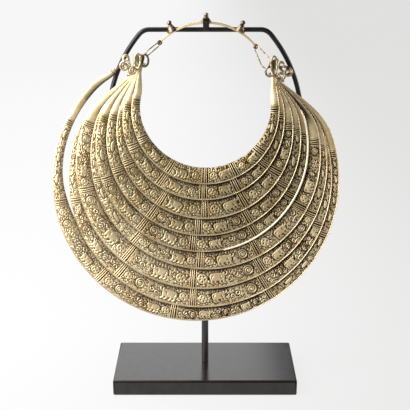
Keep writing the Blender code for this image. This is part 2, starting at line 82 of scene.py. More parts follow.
def agedSilver():
    # Beaten and chased silver, rubbed bright on the high places. The eye sees pale champagne
    # metal with brown-black tarnish left in every groove.
    material, tree, shader = newMaterial("chasedAgedSilver")
    shader.inputs["Metallic"].default_value = 0.86
    place = addNode(tree, "ShaderNodeTexCoord").outputs["Object"]
    # The stored tarnish share also carries painted shade: beside the ring in front, between the tails and on
    # the right flank
    tarnishAndShade = addNode(tree, "ShaderNodeAttribute", {"attribute_name": "patinaAndShade"}).outputs["Fac"]
    # Clouds of warmer tone, about 14 mm across, specks of tarnish of about 1.5 mm that break up
    # the bright faces, and small dents of about 1 mm left by polishing
    cloud, speck, dent = [
        addNode(
            tree, "ShaderNodeTexNoise", links={"Vector": place}, values={"Scale": scale, "Detail": detail}
        ).outputs["Fac"]
        for scale, detail in ((70.0, 3.0), (620.0, 2.0), (900.0, 2.0))
    ]
    cloudShare = addNode(
        tree, "ShaderNodeMapRange", links={"Value": cloud}, values={"From Min": 0.35, "From Max": 0.68}
    ).outputs["Result"]
    speckShare = addNode(
        tree,
        "ShaderNodeMapRange",
        links={"Value": speck},
        values={"From Min": 0.56, "From Max": 0.78, "To Max": 0.22},
    ).outputs["Result"]
    # The smaller rings are olive gold and the larger ones a rosy champagne
    tone = addNode(tree, "ShaderNodeAttribute", {"attribute_name": "tone"}).outputs["Fac"]
    gold, rose = [
        addNode(
            tree, "ShaderNodeMix", {"data_type": "RGBA"}, {"Factor": cloudShare},
            {"A": linear(high), "B": linear(low)},
        ).outputs["Result"]
        for high, low in (("#B0A07B", "#97835A"), ("#E4D0A8", "#CDB387"))
    ]
    bright = addNode(
        tree, "ShaderNodeMix", {"data_type": "RGBA"}, {"Factor": tone, "A": gold, "B": rose}
    ).outputs["Result"]
    both = addNode(
        tree, "ShaderNodeMath", {"operation": "MAXIMUM"}, {0: tarnishAndShade, 1: speckShare}
    ).outputs["Value"]
    colour = addNode(
        tree,
        "ShaderNodeMix",
        {"data_type": "RGBA"},
        {"Factor": both, "A": bright},
        {"B": linear("#1D140A")},
    ).outputs["Result"]
    tree.links.new(colour, shader.inputs["Base Color"])
    rough = addNode(
        tree, "ShaderNodeMapRange", links={"Value": both}, values={"To Min": 0.42, "To Max": 0.7}
    ).outputs["Result"]
    # Rims are rubbed smoother than the faces
    polish = addNode(tree, "ShaderNodeAttribute", {"attribute_name": "polish"}).outputs["Fac"]
    smoother = addNode(
        tree, "ShaderNodeMath", {"operation": "MULTIPLY_ADD"}, {0: polish, 2: rough}, {1: -0.2}
    ).outputs["Value"]
    tree.links.new(smoother, shader.inputs["Roughness"])
    bump = addNode(
        tree, "ShaderNodeBump", links={"Height": dent}, values={"Strength": 0.12, "Distance": 0.0001}
    ).outputs["Normal"]
    tree.links.new(bump, shader.inputs["Normal"])
    return material


def clouded(name, scale, detail, colours, rough, contrast=(0.0, 1.0)):
    # Noise drifts between two colours and between two roughnesses. contrast narrows it for
    # the colours.
    material, tree, shader = newMaterial(name)
    place = addNode(tree, "ShaderNodeTexCoord").outputs["Object"]
    cloud = addNode(
        tree, "ShaderNodeTexNoise", links={"Vector": place}, values={"Scale": scale, "Detail": detail}
    ).outputs["Fac"]
    share, roughness = [
        addNode(tree, "ShaderNodeMapRange", links={"Value": cloud}, values=span).outputs["Result"]
        for span in (
            {"From Min": contrast[0], "From Max": contrast[1]},
            {"To Min": rough[0], "To Max": rough[1]},
        )
    ]
    first, second = [linear(code) for code in colours]
    colour = addNode(
        tree, "ShaderNodeMix", {"data_type": "RGBA"}, {"Factor": share}, {"A": first, "B": second}
    ).outputs["Result"]
    tree.links.new(colour, shader.inputs["Base Color"])
    tree.links.new(roughness, shader.inputs["Roughness"])
    return material, tree, shader, cloud


def silverWire(name, *colours):
    # Drawn or turned silver, duller and browner than the rings from handling
    material, _, shader, _ = clouded(name, 330.0, 2.0, colours, (0.28, 0.5), (0.38, 0.66))
    shader.inputs["Metallic"].default_value = 1.0
    return material


def blackPaint(name, colours, rough, shine):
    # Sprayed black paint on steel: nearly black, with a soft sheen that rubs unevenly
    material, tree, shader, rub = clouded(name, 120.0, 4.0, colours, rough)
    # The sheen clouds over in patches, and is taken away where an edge is marked for a painted dark
    # reflection
    span = {"From Min": 0.3, "From Max": 0.7, "To Min": shine * 0.9, "To Max": shine * 1.1}
    sheen = addNode(tree, "ShaderNodeMapRange", links={"Value": rub}, values=span).outputs["Result"]
    edge = addNode(tree, "ShaderNodeAttribute", {"attribute_name": "paintedDarkEdge"}).outputs["Fac"]
    kept = addNode(
        tree, "ShaderNodeMath", {"operation": "SUBTRACT"}, {1: edge}, {0: 1.0}
    ).outputs["Value"]
    level = addNode(tree, "ShaderNodeMath", {"operation": "MULTIPLY"}, {0: sheen, 1: kept}).outputs["Value"]
    tree.links.new(level, shader.inputs["Specular IOR Level"])
    return material


def makeHighlightSilver():
    # A painted highlight: the one broad rim is coloured a creamy white for the shine it catches from the
    # lamps
    colours = ("#F1E4CB", "#DCCBA9")
    material, _, shader, _ = clouded("paintedHighlightSilver", 260.0, 2.0, colours, (0.4, 0.4))
    shader.inputs["Metallic"].default_value = 0.55
    return material


silver = agedSilver()
highlightSilver = makeHighlightSilver()
wireSilver = silverWire("drawnSilverWire", "#A8977A", "#3F301F")
# A paler copy of the wire silver, painted light for the coils and hairpins on the lit left
litCoilSilver = silverWire("litSideSilverWire", "#CDBD9A", "#7A6648")
# Darker silver for the knobs and the strip's eyes: tarnish, with painted shade on the knobs
darkSilver = silverWire("tarnishedAndShadedSilver", "#8A7B64", "#2A2015")
paint = blackPaint("sprayedBlackPaint", ("#080706", "#14110E"), (0.14, 0.24), 0.3)
# A lighter, shinier copy of the black paint, used for the post
postPaint = blackPaint("lighterBlackPaint", ("#2A2521", "#1C1917"), (0.24, 0.38), 0.5)
gloss = blackPaint("glossBlackPaint", ("#15110D", "#1C1917"), (0.14, 0.24), 0.5)
print("materials made")

# Geometry node trees


def startTree(name, sockets):
    tree = bpy.data.node_groups.new(name, "GeometryNodeTree")
    tree.interface.new_socket("Geometry", in_out="INPUT", socket_type="NodeSocketGeometry")
    for label, kind, value in sockets:
        socket = tree.interface.new_socket(label, in_out="INPUT", socket_type=kind)
        if value is not None:
            socket.default_value = value
    tree.interface.new_socket("Geometry", in_out="OUTPUT", socket_type="NodeSocketGeometry")
    return tree, addNode(tree, "NodeGroupInput").outputs


def endTree(tree, shape, material):
    real = addNode(tree, "GeometryNodeRealizeInstances", links={"Geometry": shape})
    painted = addNode(
        tree, "GeometryNodeSetMaterial", links={"Geometry": real.outputs[0], "Material": material}
    )
    addNode(tree, "NodeGroupOutput", links={"Geometry": painted.outputs[0]})
    return tree


def sweptWireTree():
    # Sweeps a round wire along every run of edges. "thickness" on the points scales its radius.
    tree, given = startTree(
        "sweptWire",
        (
            ("Radius", "NodeSocketFloat", 0.001),
            ("Sides", "NodeSocketInt", 8),
            ("Material", "NodeSocketMaterial", None),
        ),
    )
    runs = addNode(tree, "GeometryNodeMeshToCurve", links={"Mesh": given["Geometry"]})
    thickness = addNode(
        tree, "GeometryNodeInputNamedAttribute", {"data_type": "FLOAT"}, values={"Name": "thickness"}
    )
    scaled = addNode(
        tree,
        "GeometryNodeSetCurveRadius",
        links={"Curve": runs.outputs[0], "Radius": thickness.outputs["Attribute"]},
    )
    ring = addNode(
        tree,
        "GeometryNodeCurvePrimitiveCircle",
        links={"Resolution": given["Sides"], "Radius": given["Radius"]},
    )
    tube = addNode(
        tree,
        "GeometryNodeCurveToMesh",
        links={"Curve": scaled.outputs[0], "Profile Curve": ring.outputs[0]},
        values={"Fill Caps": True},
    )
    soft = addNode(tree, "GeometryNodeSetShadeSmooth", links={"Geometry": tube.outputs[0]})
    return endTree(tree, soft.outputs[0], given["Material"])


def chasedSheetTree():
    # Raises and sinks the sheet along its normal by the "relief" that is stored on it
    tree, given = startTree(
        "chasedSheet",
        (("Relief Depth", "NodeSocketFloat", 0.0003), ("Material", "NodeSocketMaterial", None)),
    )
    relief = addNode(
        tree, "GeometryNodeInputNamedAttribute", {"data_type": "FLOAT"}, values={"Name": "relief"}
    )
    normal = addNode(tree, "GeometryNodeInputNormal")
    height = addNode(
        tree,
        "ShaderNodeMath",
        {"operation": "MULTIPLY"},
        {0: relief.outputs["Attribute"], 1: given["Relief Depth"]},
    )
    push = addNode(
        tree,
        "ShaderNodeVectorMath",
        {"operation": "SCALE"},
        {0: normal.outputs[0], "Scale": height.outputs[0]},
    )
    raised = addNode(
        tree, "GeometryNodeSetPosition", links={"Geometry": given["Geometry"], "Offset": push.outputs[0]}
    )
    soft = addNode(tree, "GeometryNodeSetShadeSmooth", links={"Geometry": raised.outputs[0]})
    return endTree(tree, soft.outputs[0], given["Material"])


sweptWire = sweptWireTree()
chasedSheet = chasedSheetTree()


def grown(name, mesh, tree, inputs):
    # Runs a tree on a mesh and keeps the plain result
    holder = bpy.data.objects.new(name + "_start", mesh)
    bpy.context.scene.collection.objects.link(holder)
    modifier = holder.modifiers.new("grow", "NODES")
    modifier.node_group = tree
    for item in tree.interface.items_tree:
        if item.in_out == "INPUT" and item.name in inputs:
            modifier[item.identifier] = inputs[item.name]
    graph = bpy.context.evaluated_depsgraph_get()
    made = bpy.data.meshes.new_from_object(holder.evaluated_get(graph))
    holder.modifiers.remove(modifier)
    bpy.data.objects.remove(holder)
    return placed(name, made)


def placed(name, mesh, material=None):
    obj = bpy.data.objects.new(name, mesh)
    mesh.name = name
    bpy.context.scene.collection.objects.link(obj)
    if material:
        mesh.materials.clear()
        mesh.materials.append(material)
    return obj


def dress(obj, slotName, *nodes):
    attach(obj, body)
    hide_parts(*nodes)


def finished(name, bm, material, sharpAngle=None):
    # Turns a bmesh into a smooth piece, with its sharper edges kept sharp
    mesh = bpy.data.meshes.new(name)
    bm.to_mesh(mesh)
    bm.free()
    mesh.shade_smooth()
    if sharpAngle:
        mesh.set_sharp_from_angle(angle=sharpAngle)
    return placed(name, mesh, material)


def edgeMesh(name, runs, closed=False, attributes=None):
    # runs: lists of points. attributes: name -> one list of numbers for each run
    points, edges = [], []
    for run in runs:
        first = len(points)
        points += [tuple(p) for p in run]
        edges += [(first + i, first + i + 1) for i in range(len(run) - 1)]
        if closed:
            edges.append((first + len(run) - 1, first))
    mesh = bpy.data.meshes.new(name)
    mesh.from_pydata(points, edges, [])
    attributes = dict(attributes or {})
    if "thickness" not in attributes:
        attributes["thickness"] = [[1.0] * len(run) for run in runs]
    for key, rows in attributes.items():
        layer = mesh.attributes.new(key, "FLOAT", "POINT")
        layer.data.foreach_set("value", np.concatenate([np.asarray(r, float) for r in rows]))
    return mesh


def wire(name, runs, radius, material, closed=False, sides=12, attributes=None):
    mesh = edgeMesh(name, runs, closed, attributes)
    return grown(name, mesh, sweptWire, {"Radius": radius, "Sides": sides, "Material": material})


def gridMesh(name, points, values):
    # points: array of rows x columns x 3. The columns close round and both ends are capped.
    rows, columns = points.shape[:2]
    mesh = bpy.data.meshes.new(name)
    mesh.vertices.add(rows * columns)
    mesh.vertices.foreach_set("co", points.reshape(-1).astype(np.float32))
    i = np.arange(rows - 1)[:, None]
    j = np.arange(columns)[None, :]
    after = (j + 1) % columns
    quads = np.stack(
        [i * columns + j, i * columns + after, (i + 1) * columns + after, (i + 1) * columns + j], axis=-1
    ).reshape(-1, 4)
    ends = [np.arange(columns)[::-1], (rows - 1) * columns + np.arange(columns)]
    loops = np.concatenate([quads.reshape(-1)] + ends)
    sizes = np.concatenate([np.full(len(quads), 4), np.array([columns, columns])])
    mesh.loops.add(len(loops))
    mesh.loops.foreach_set("vertex_index", loops.astype(np.int32))
    mesh.polygons.add(len(sizes))
    mesh.polygons.foreach_set("loop_start", (np.cumsum(sizes) - sizes).astype(np.int32))
    mesh.update(calc_edges=True)
    for key, value in values.items():
        layer = mesh.attributes.new(key, "FLOAT", "POINT")
        layer.data.foreach_set("value", np.asarray(value, np.float32).reshape(-1))
    mesh.validate()
    bm = bmesh.new()
    bm.from_mesh(mesh)
    if bm.calc_volume(signed=True) < 0:
        bmesh.ops.reverse_faces(bm, faces=bm.faces)
        bm.to_mesh(mesh)
    bm.free()
    return mesh


print("node trees made")

# Stand

stand = {
    "baseWidth": 0.185,
    "baseDepth": 0.096,
    "baseThickness": 0.016,
    "baseEdge": 0.0018,
    "baseBorder": 0.0004,  # keeps the shading of the large faces flat
    "postRadius": 0.0035,
    "rodRadius": 0.00235,
    "barHeight": 0.360,
    "barHalfLength": 0.053,
    "bendDrop": 0.005,
    "flankRadius": 0.133,
    "hoopHalfWidth": 0.094,
    "hoopHeight": 0.270,
    "hookWidth": 0.006,
    "hookThickness": 0.0014,
    "hookLip": 0.004,
    "hookFoot": 0.002,
    "hookEdge": 0.00035,
}
gap = 0.0003  # clearance between the solids


def rodRoute():
    # Right half of the bent rod, from the middle of the top bar to the post
    centreX = stand["hoopHalfWidth"] - stand["flankRadius"]
    rise = stand["barHeight"] - stand["bendDrop"] - stand["hoopHeight"]
    flankTop = asin(rise / stand["flankRadius"])

    def flank(angle):
        x = centreX + stand["flankRadius"] * cos(angle)
        return Vector((x, stand["hoopHeight"] + stand["flankRadius"] * sin(angle)))

    barEnd = Vector((stand["barHalfLength"], stand["barHeight"]))
    bendEnd = flank(flankTop)
    cornerX = bendEnd.x - stand["bendDrop"] * sin(flankTop) / cos(flankTop)
    corner = Vector((cornerX, stand["barHeight"]))
    points = [Vector((barEnd.x * i / 12, stand["barHeight"])) for i in range(12)]
    for i in range(15):
        s = i / 14
        points.append(barEnd * (1 - s) ** 2 + corner * 2 * s * (1 - s) + bendEnd * s * s)
    for i in range(1, 25):
        points.append(flank(flankTop * (1 - i / 24)))
    for i in range(1, 41):
        angle = pi / 2 * i / 40
        drop = stand["hoopHalfWidth"] * sin(angle)
        points.append(Vector((stand["hoopHalfWidth"] * cos(angle), stand["hoopHeight"] - drop)))
    return points


def buildStand():
    right = rodRoute()
    left = [Vector((-p.x, p.y)) for p in reversed(right[1:-1])]
    rod = [(p.x, 0, p.y) for p in right + left]
    hoop = wire("arch_rod", [rod], stand["rodRadius"], paint, closed=True, sides=20)
    dress(hoop, "black_paint", "stand_arch")

    # The post meets the hoop in a filed saddle and stands in a small weld bead
    low = stand["baseThickness"] + gap
    high = stand["hoopHeight"] - stand["hoopHalfWidth"] - stand["rodRadius"] + 0.0006
    heights = [low, low + 0.0006, low + 0.0014, low + 0.003, between(low, high, 0.5), high - 0.001, high]
    scales = {"thickness": [[1.22, 1.18, 1.03, 1.0, 1.0, 1.0, 0.86]]}
    axis = [(0, 0, z) for z in heights]
    post = wire("post", [axis], stand["postRadius"], postPaint, sides=36, attributes=scales)
    dress(post, "black_paint", "stand_post")
    dress(baseBlock(), "black_paint", "stand_base")
    dress(hookTab(), "black_paint", "stand_hook")


def baseBlock():
    bm = bmesh.new()
    bmesh.ops.create_cube(bm, size=1.0)
    size = (stand["baseWidth"], stand["baseDepth"], stand["baseThickness"])
    bmesh.ops.scale(bm, vec=size, verts=bm.verts)
    bmesh.ops.translate(bm, vec=(0, 0, stand["baseThickness"] / 2), verts=bm.verts)
    bmesh.ops.bevel(
        bm, geom=bm.edges[:], offset=stand["baseEdge"], segments=4, profile=0.5, affect="EDGES"
    )
    large = [face for face in bm.faces if face.calc_area() > 0.0005]
    bmesh.ops.inset_individual(bm, faces=large, thickness=stand["baseBorder"])
    obj = finished("base_block", bm, gloss)
    # Painted reflection: the sheen is taken off the front's upper rounded edge, so that it reads as a dark
    # line
    places = np.array([vertex.co for vertex in obj.data.vertices])
    below = (stand["baseThickness"] - places[:, 2]) / stand["baseEdge"]
    darkEdgeMask = (places[:, 1] < 0) & (below > 0.15) & (below < 1.05)
    edge = obj.data.attributes.new("paintedDarkEdge", "FLOAT", "POINT")
    edge.data.foreach_set("value", np.where(darkEdgeMask, 0.95, 0.0).astype(np.float32))
    return obj


def hookTab():
    # A strip of steel bent into a J. The neck strip lies on its floor.
    back = -stand["rodRadius"] - gap
    lip = 2 * stripY() - back
    thick = stand["hookThickness"]
    inner = neckStrip["radius"] - neckStrip["thickness"]
    sag = inner - sqrt(inner**2 - (stand["hookWidth"] / 2) ** 2)
    floor = neckStrip["top"] - neckStrip["thickness"] - gap - sag
    foot = stand["barHeight"] - stand["hookFoot"] / 2
    outline = [
        (back, foot),
        (back, floor),
        (lip, floor),
        (lip, neckStrip["top"] + stand["hookLip"]),
        (lip - thick, neckStrip["top"] + stand["hookLip"]),
        (lip - thick, floor - thick),
        (back - thick, floor - thick),
        (back - thick, foot),
    ]
    bm = bmesh.new()
    left, right = [
        [bm.verts.new((x + neckStrip["offset"], y, z)) for y, z in outline]
        for x in (-stand["hookWidth"] / 2, stand["hookWidth"] / 2)
    ]
    for i in range(len(outline)):
        j = (i + 1) % len(outline)
        bm.faces.new((left[i], left[j], right[j], right[i]))
    bm.faces.new(left)
    bm.faces.new(right)
    bmesh.ops.recalc_face_normals(bm, faces=bm.faces)
    bmesh.ops.bevel(
        bm, geom=bm.edges[:], offset=stand["hookEdge"], segments=2, profile=0.5, affect="EDGES"
    )
    return finished("hook_tab", bm, paint, radians(40))


# Neck strip

neckStrip = {
    "radius": 0.062,
    "top": 0.3678,
    "offset": 0.001,
    "thickness": 0.0016,
    "width": 0.006,
    "endWidth": 0.0020,
    "left": radians(46),
    "right": radians(50.6),
    "stations": 97,
    "edgeWire": 0.00032,
    "eyeRadius": 0.0023,
    "eyeWire": 0.0005,
    "eyeShown": (0.0013, 0.0012),  # radius and wire of the finished eye
    "knobHeight": 0.0095,
    "knobFoot": 0.0033,
    "knobBall": 0.0019,
    "knobAngles": (radians(-31), 0.0, radians(31)),
    "knobLean": 0.65,
    "knobSides": 28,
    # width and height of each knob against the first sizes
    "knobScales": ((1.22, 1.14), (1.22, 0.92), (1.22, 1.14)),
}


def stripY():
    return -stand["rodRadius"] - 2 * gap - max(neckStrip["width"] / 2, neckStrip["knobFoot"])


def stripPoint(angle, radius):
    x = neckStrip["offset"] + radius * sin(angle)
    return Vector((x, stripY(), neckStrip["top"] - neckStrip["radius"] + radius * cos(angle)))


def eyeCentre(side):
    angle = neckStrip["right"] if side["sign"] > 0 else -neckStrip["left"]
    return stripPoint(angle, neckStrip["radius"] - neckStrip["thickness"] / 2)


def buildNeckStrip():
    reach = neckStrip["eyeRadius"] / neckStrip["radius"]
    first, last = -neckStrip["left"] + reach, neckStrip["right"] - reach
    stations, thick = neckStrip["stations"], neckStrip["thickness"]
    rows, edgeRuns, edgeSizes = [], [[], []], [[], []]
    for i in range(stations):
        angle = between(first, last, i / (stations - 1))
        share = abs(angle) / max(-first, last)
        half = between(neckStrip["width"], neckStrip["endWidth"], share**1.6) / 2
        # A shallow trough between two beaded edges
        section = []
        for y, r in (
            (-1.0, -0.10), (-0.9, 0.0), (-0.6, -0.12), (0.0, -0.20), (0.6, -0.12), (0.9, 0.0),
            (1.0, -0.10), (1.0, -0.90), (0.9, -1.0), (-0.9, -1.0), (-1.0, -0.90),
        ):
            section.append(stripPoint(angle, neckStrip["radius"] + r * thick) + Vector((0, y * half, 0)))
        rows.append(section)
        for k, y in enumerate((-0.88, 0.88)):
            edgeRuns[k].append(stripPoint(angle, neckStrip["radius"]) + Vector((0, y * half, 0)))
            edgeSizes[k].append(between(1.0, 0.55, share))
    shape = (stations, len(section))
    wearAndShade = {"patinaAndShade": np.full(shape, 0.06), "tone": np.ones(shape)}
    mesh = gridMesh("neck_band", np.array(rows), wearAndShade)
    obj = placed("neck_band", mesh, silver)
    mesh.shade_smooth()
    mesh.set_sharp_from_angle(angle=radians(50))
    dress(obj, "aged_silver", "neck_strip")
    wearAndShade = {"thickness": edgeSizes, "patinaAndShade": [[0.25] * stations] * 2, "tone": [[1.0] * stations] * 2}
    edges = wire("neck_band_edges", edgeRuns, neckStrip["edgeWire"], silver, sides=8, attributes=wearAndShade)
    dress(edges, "aged_silver", "neck_strip")
    eyes = []
    eyeRadius, eyeWire = neckStrip["eyeShown"]
    for side in sides.values():
        centre = eyeCentre(side)
        turns = [2 * pi * i / 32 for i in range(32)]
        eyes.append([centre + Vector((cos(a), 0, sin(a))) * eyeRadius for a in turns])
    made = wire("neck_band_eyes", eyes, eyeWire, darkSilver, closed=True, sides=14)
    dress(made, "aged_silver", "neck_strip")
    dress(knobs(), "aged_silver", "neck_strip")


def knobProfile():
    # Radius and height of a turned knob, from its top down
    ball = neckStrip["knobBall"]
    height, foot = neckStrip["knobHeight"], neckStrip["knobFoot"]
    ballZ = height - ball
    profile = [(0.00002, height)]
    profile += [
        (ball * cos(radians(a)), ballZ + ball * sin(radians(a))) for a in range(78, -60, -12)
    ]
    neck = ball * 0.86
    profile += [(neck, ballZ - ball * 0.98), (neck * 1.28, ballZ - ball * 1.16)]
    profile += [(neck * 1.30, ballZ - ball * 1.28), (neck * 0.98, ballZ - ball * 1.46)]
    top = ballZ - ball * 1.46
    for i in range(1, 9):  # the flared foot
        s = i / 8
        profile.append((between(neck * 1.15, foot * 1.25, s), between(top, height * 0.06, s)))
    return profile + [(foot * 1.25, 0.0), (foot * 1.2, -0.0003), (0.00002, -0.0003)]


def knobs():
    count = neckStrip["knobSides"]
    turns = [2 * pi * k / count for k in range(count)]
    bm = bmesh.new()
    for angle, (wide, tall) in zip(neckStrip["knobAngles"], neckStrip["knobScales"]):
        place = Matrix.Translation(stripPoint(angle, neckStrip["radius"])) @ Matrix.Rotation(
            angle * neckStrip["knobLean"], 4, "Y"
        )
        circles = []
        for r, z in knobProfile():
            turned = [Vector((r * wide * cos(a), r * wide * sin(a), z * tall)) for a in turns]
            circles.append([bm.verts.new(place @ point) for point in turned])
        for upper, lower in zip(circles, circles[1:]):
            for k in range(count):
                m = (k + 1) % count
                bm.faces.new((upper[k], upper[m], lower[m], lower[k]))
        bm.faces.new(circles[0])
        bm.faces.new(circles[-1])
    bmesh.ops.recalc_face_normals(bm, faces=bm.faces)
    return finished("neck_band_knobs", bm, darkSilver, radians(50))


# Rings: where they lie

stack = {
    "gatherHeight": 0.330,
    "lean": radians(3),
    "pitch": 0.0022,
    "pinSlot": 0.0015,
    "wall": 0.001,
    "bandWidth": 0.020,
    "tipWidth": 0.0034,
    "looseTipWidth": 0.0056,  # of the tail that isn't bound, which is fuller and bows outwards
    "looseBow": 0.0010,
    "track": 0.007,  # lengths along a ring are measured this far in from its outer edge
    "firstRadius": 0.070,
    "lastRadius": 0.141,
    "firstDrop": 0.1157,
    "lastDrop": 0.261,
    "swing": -0.009,
    "crown": 0.080,
    "tilt": 0.075,
    "collarWidth": 0.005,
    "collarRise": 0.0006,
    "panelSwell": 0.25,
    "bandRound": 1.35,  # how much fuller the finished face is than the solid's
    "tailRound": 2.4,
    "throatSpread": 0.0024,
    "throatBend": 0.012,
    "tailPull": 0.9,
    "looseTip": {"x": -0.0850, "t": -0.0085, "turn": radians(48)},
}
ringColumns = ("radius", "drop", "swing", "width", "flank", "taper", "leaveLeft", "leaveRight")
ringRows = (
    (0.000, 0.000, -0.05, 0.78, 0.46, 1.0, 104, 100),
    (0.100, 0.111, 0.13, 0.97, 0.50, 1.0, 106, 102),
    (0.205, 0.244, 0.00, 1.04, 0.50, 1.0, 108, 104),
    (0.330, 0.365, 0.12, 1.02, 0.52, 1.0, 110, 106),
    (0.460, 0.485, 0.31, 0.97, 0.54, 1.0, 112, 107),
    (0.587, 0.613, -0.08, 1.12, 0.56, 1.0, 113, 107),
    (0.739, 0.759, 0.36, 1.20, 0.59, 1.0, 115, 109),
    (0.832, 0.897, 0.51, 1.10, 0.58, 1.0, 114, 111),
    (1.000, 1.000, 1.00, 1.28, 0.24, 0.6, 128, 114),
)
rings = [dict(zip(ringColumns, row)) for row in ringRows]
# How far each ring's middle bands stray from an even line, in degrees
bandStray = (0.0, 0.5, 2.0, -0.7, -1.5, 1.9, 1.6, 3.4, -1.8)
collarTurns = ((-99, -117), (-66, -84), (-31, -44), (0, -8), (27, 32), (56, 70), (93, 103))

sides = {
    "left": {
        "sign": -1, "throatX": -0.0625, "throatT": -0.007, "tipX": -0.0620, "tipT": 0.008,
        "tips": 8, "tipSpread": 0.0085, "pinX": -0.0570, "pinT": 0.0025, "pinHeight": 0.014,
        "pinTall": 0.0114, "eyeletUp": 0.0113, "coilShift": 0.0,
        "linkRoll": radians(50), "linkNear": 0.0028, "linkFar": 0.0031, "coilX": -0.0682,
        "coilT": -0.0075, "lobeShown": 0.0072, "eyeletShown": 0.0058, "hairpinX": -0.0605,
        "hairpinHeight": 0.0205,
    },
    "right": {
        "sign": 1, "throatX": 0.0657, "throatT": -0.015, "tipX": 0.0665, "tipT": 0.003,
        "tips": 9, "tipSpread": 0.0062, "pinX": 0.0610, "pinT": -0.0080, "pinHeight": 0.012,
        "pinTall": 0.0090, "eyeletUp": 0.0106, "coilShift": -0.0024,
        "linkRoll": radians(30), "linkNear": 0.0029, "linkFar": 0.0056, "coilX": 0.0733,
        "coilT": -0.0130, "lobeShown": 0.0066, "eyeletShown": 0.0002, "hairpinX": 0.0620,
        "hairpinHeight": 0.0235,
    },
}


def stackBack():
    return -stand["rodRadius"] - 2 * gap - stack["wall"] - stack["tilt"] * stack["tipWidth"]


def onBib(x, t, n):
    lean = stack["lean"]
    y = stackBack() + t * sin(lean) - n * cos(lean)
    return Vector((x, y, stack["gatherHeight"] + t * cos(lean) + n * sin(lean)))


def onBibGrid(x, t, n):
    lean = stack["lean"]
    y = stackBack() + t * np.sin(lean) - n * np.cos(lean)
    z = stack["gatherHeight"] + t * np.cos(lean) + n * np.sin(lean)
    return np.stack([np.broadcast_to(x, y.shape), y, z], axis=-1)


def layerDepth(index):
    slotDepth = stack["pinSlot"] if index < 4 else 0.0
    return (len(rings) - 1 - index) * stack["pitch"] + slotDepth


def tipEnds(index, side):
    if index >= side["tips"]:
        loose = stack["looseTip"]
        tip = Vector((loose["x"], loose["t"]))
        back = Vector((-sin(loose["turn"]), -cos(loose["turn"])))
        return tip + back * 2 * stack["tipWidth"], tip
    share = index / (side["tips"] - 1) - 0.5
    throatX = side["throatX"] + side["sign"] * stack["throatSpread"] * share
    tipX = side["tipX"] + side["sign"] * side["tipSpread"] * share
    return Vector((throatX, side["throatT"])), Vector((tipX, side["tipT"]))


def hermite(start, startPull, end, endPull, s):
    a = 2 * s**3 - 3 * s**2 + 1
    b = s**3 - 2 * s**2 + s
    c = -2 * s**3 + 3 * s**2
    d = s**3 - s**2
    return start * a + startPull * b + end * c + endPull * d


def flankWidth(ring, angle):
    swell = (np.cos(angle) + np.sqrt(np.cos(angle) ** 2 + 0.03)) / (1 + sqrt(1.03))
    share = ring["flank"] + (1 - ring["flank"]) * swell ** ring["taper"]
    return stack["bandWidth"] * ring["width"] * share


def ringShape(index):
    ring = rings[index]
    radius = between(stack["firstRadius"], stack["lastRadius"], ring["radius"])
    drop = between(stack["firstDrop"], stack["lastDrop"], ring["drop"])
    turns = [radians(between(a, b, index / (len(rings) - 1))) for a, b in collarTurns]
    turns[3] += radians(bandStray[index])
    for k, sign in ((1, 0.9), (2, -0.8), (4, 0.7), (5, -1.0)):
        turns[k] += radians(bandStray[(index + 3 * k) % len(rings)] * sign)
    return ring, radius, np.array((stack["swing"] * ring["swing"], radius - drop)), turns


def ringPath(index, step):
    # Stations along a ring, from the left tip over the arc to the right tip
    ring, radius, centre, turns = ringShape(index)
    low, high = -radians(ring["leaveLeft"]), radians(ring["leaveRight"])
    count = int((high - low) * radius / step)
    angle = np.linspace(low, high, count + 1)
    out = np.stack([np.sin(angle), -np.cos(angle)], axis=-1)
    width = flankWidth(ring, angle)
    place = centre + out * (radius - width / 2)[:, None]
    half = stack["collarWidth"] / 2 / radius
    crown = np.ones_like(angle)
    collar = np.zeros_like(angle)
    for i, turn in enumerate(turns):
        near = np.clip(1 - np.abs(angle - turn) / half, 0, 1)
        collar = np.maximum(collar, stack["collarRise"] * near)
        if i + 1 < len(turns):
            share = np.clip((angle - turn - half) / (turns[i + 1] - turn - 2 * half), 0, 1)
            crown += stack["panelSwell"] * np.sin(pi * share)
    shown = width.copy()
    if index:
        # Visible band: from the outer edge in to the next smaller ring's outer edge
        _, r0, c0, _ = ringShape(index - 1)
        edge = centre + out * radius
        away = edge - c0
        along = (away * out).sum(-1)
        shown = along - np.sqrt(np.maximum(along**2 - (away**2).sum(-1) + r0**2, 0))
        shown = np.clip(shown, 0.003, width)
    path = {
        "place": place, "out": out, "width": width, "crown": crown, "collar": collar,
        "shown": shown, "along": angle * (radius - stack["track"]), "angle": angle,
        "arc": np.ones_like(angle),
    }
    for side, last in ((sides["left"], 0), (sides["right"], -1)):
        tail = tailPath(index, side, path, last, step)
        for key in path:
            if last == 0:
                path[key] = np.concatenate([tail[key][::-1], path[key]])
            else:
                path[key] = np.concatenate([path[key], tail[key]])
    return path


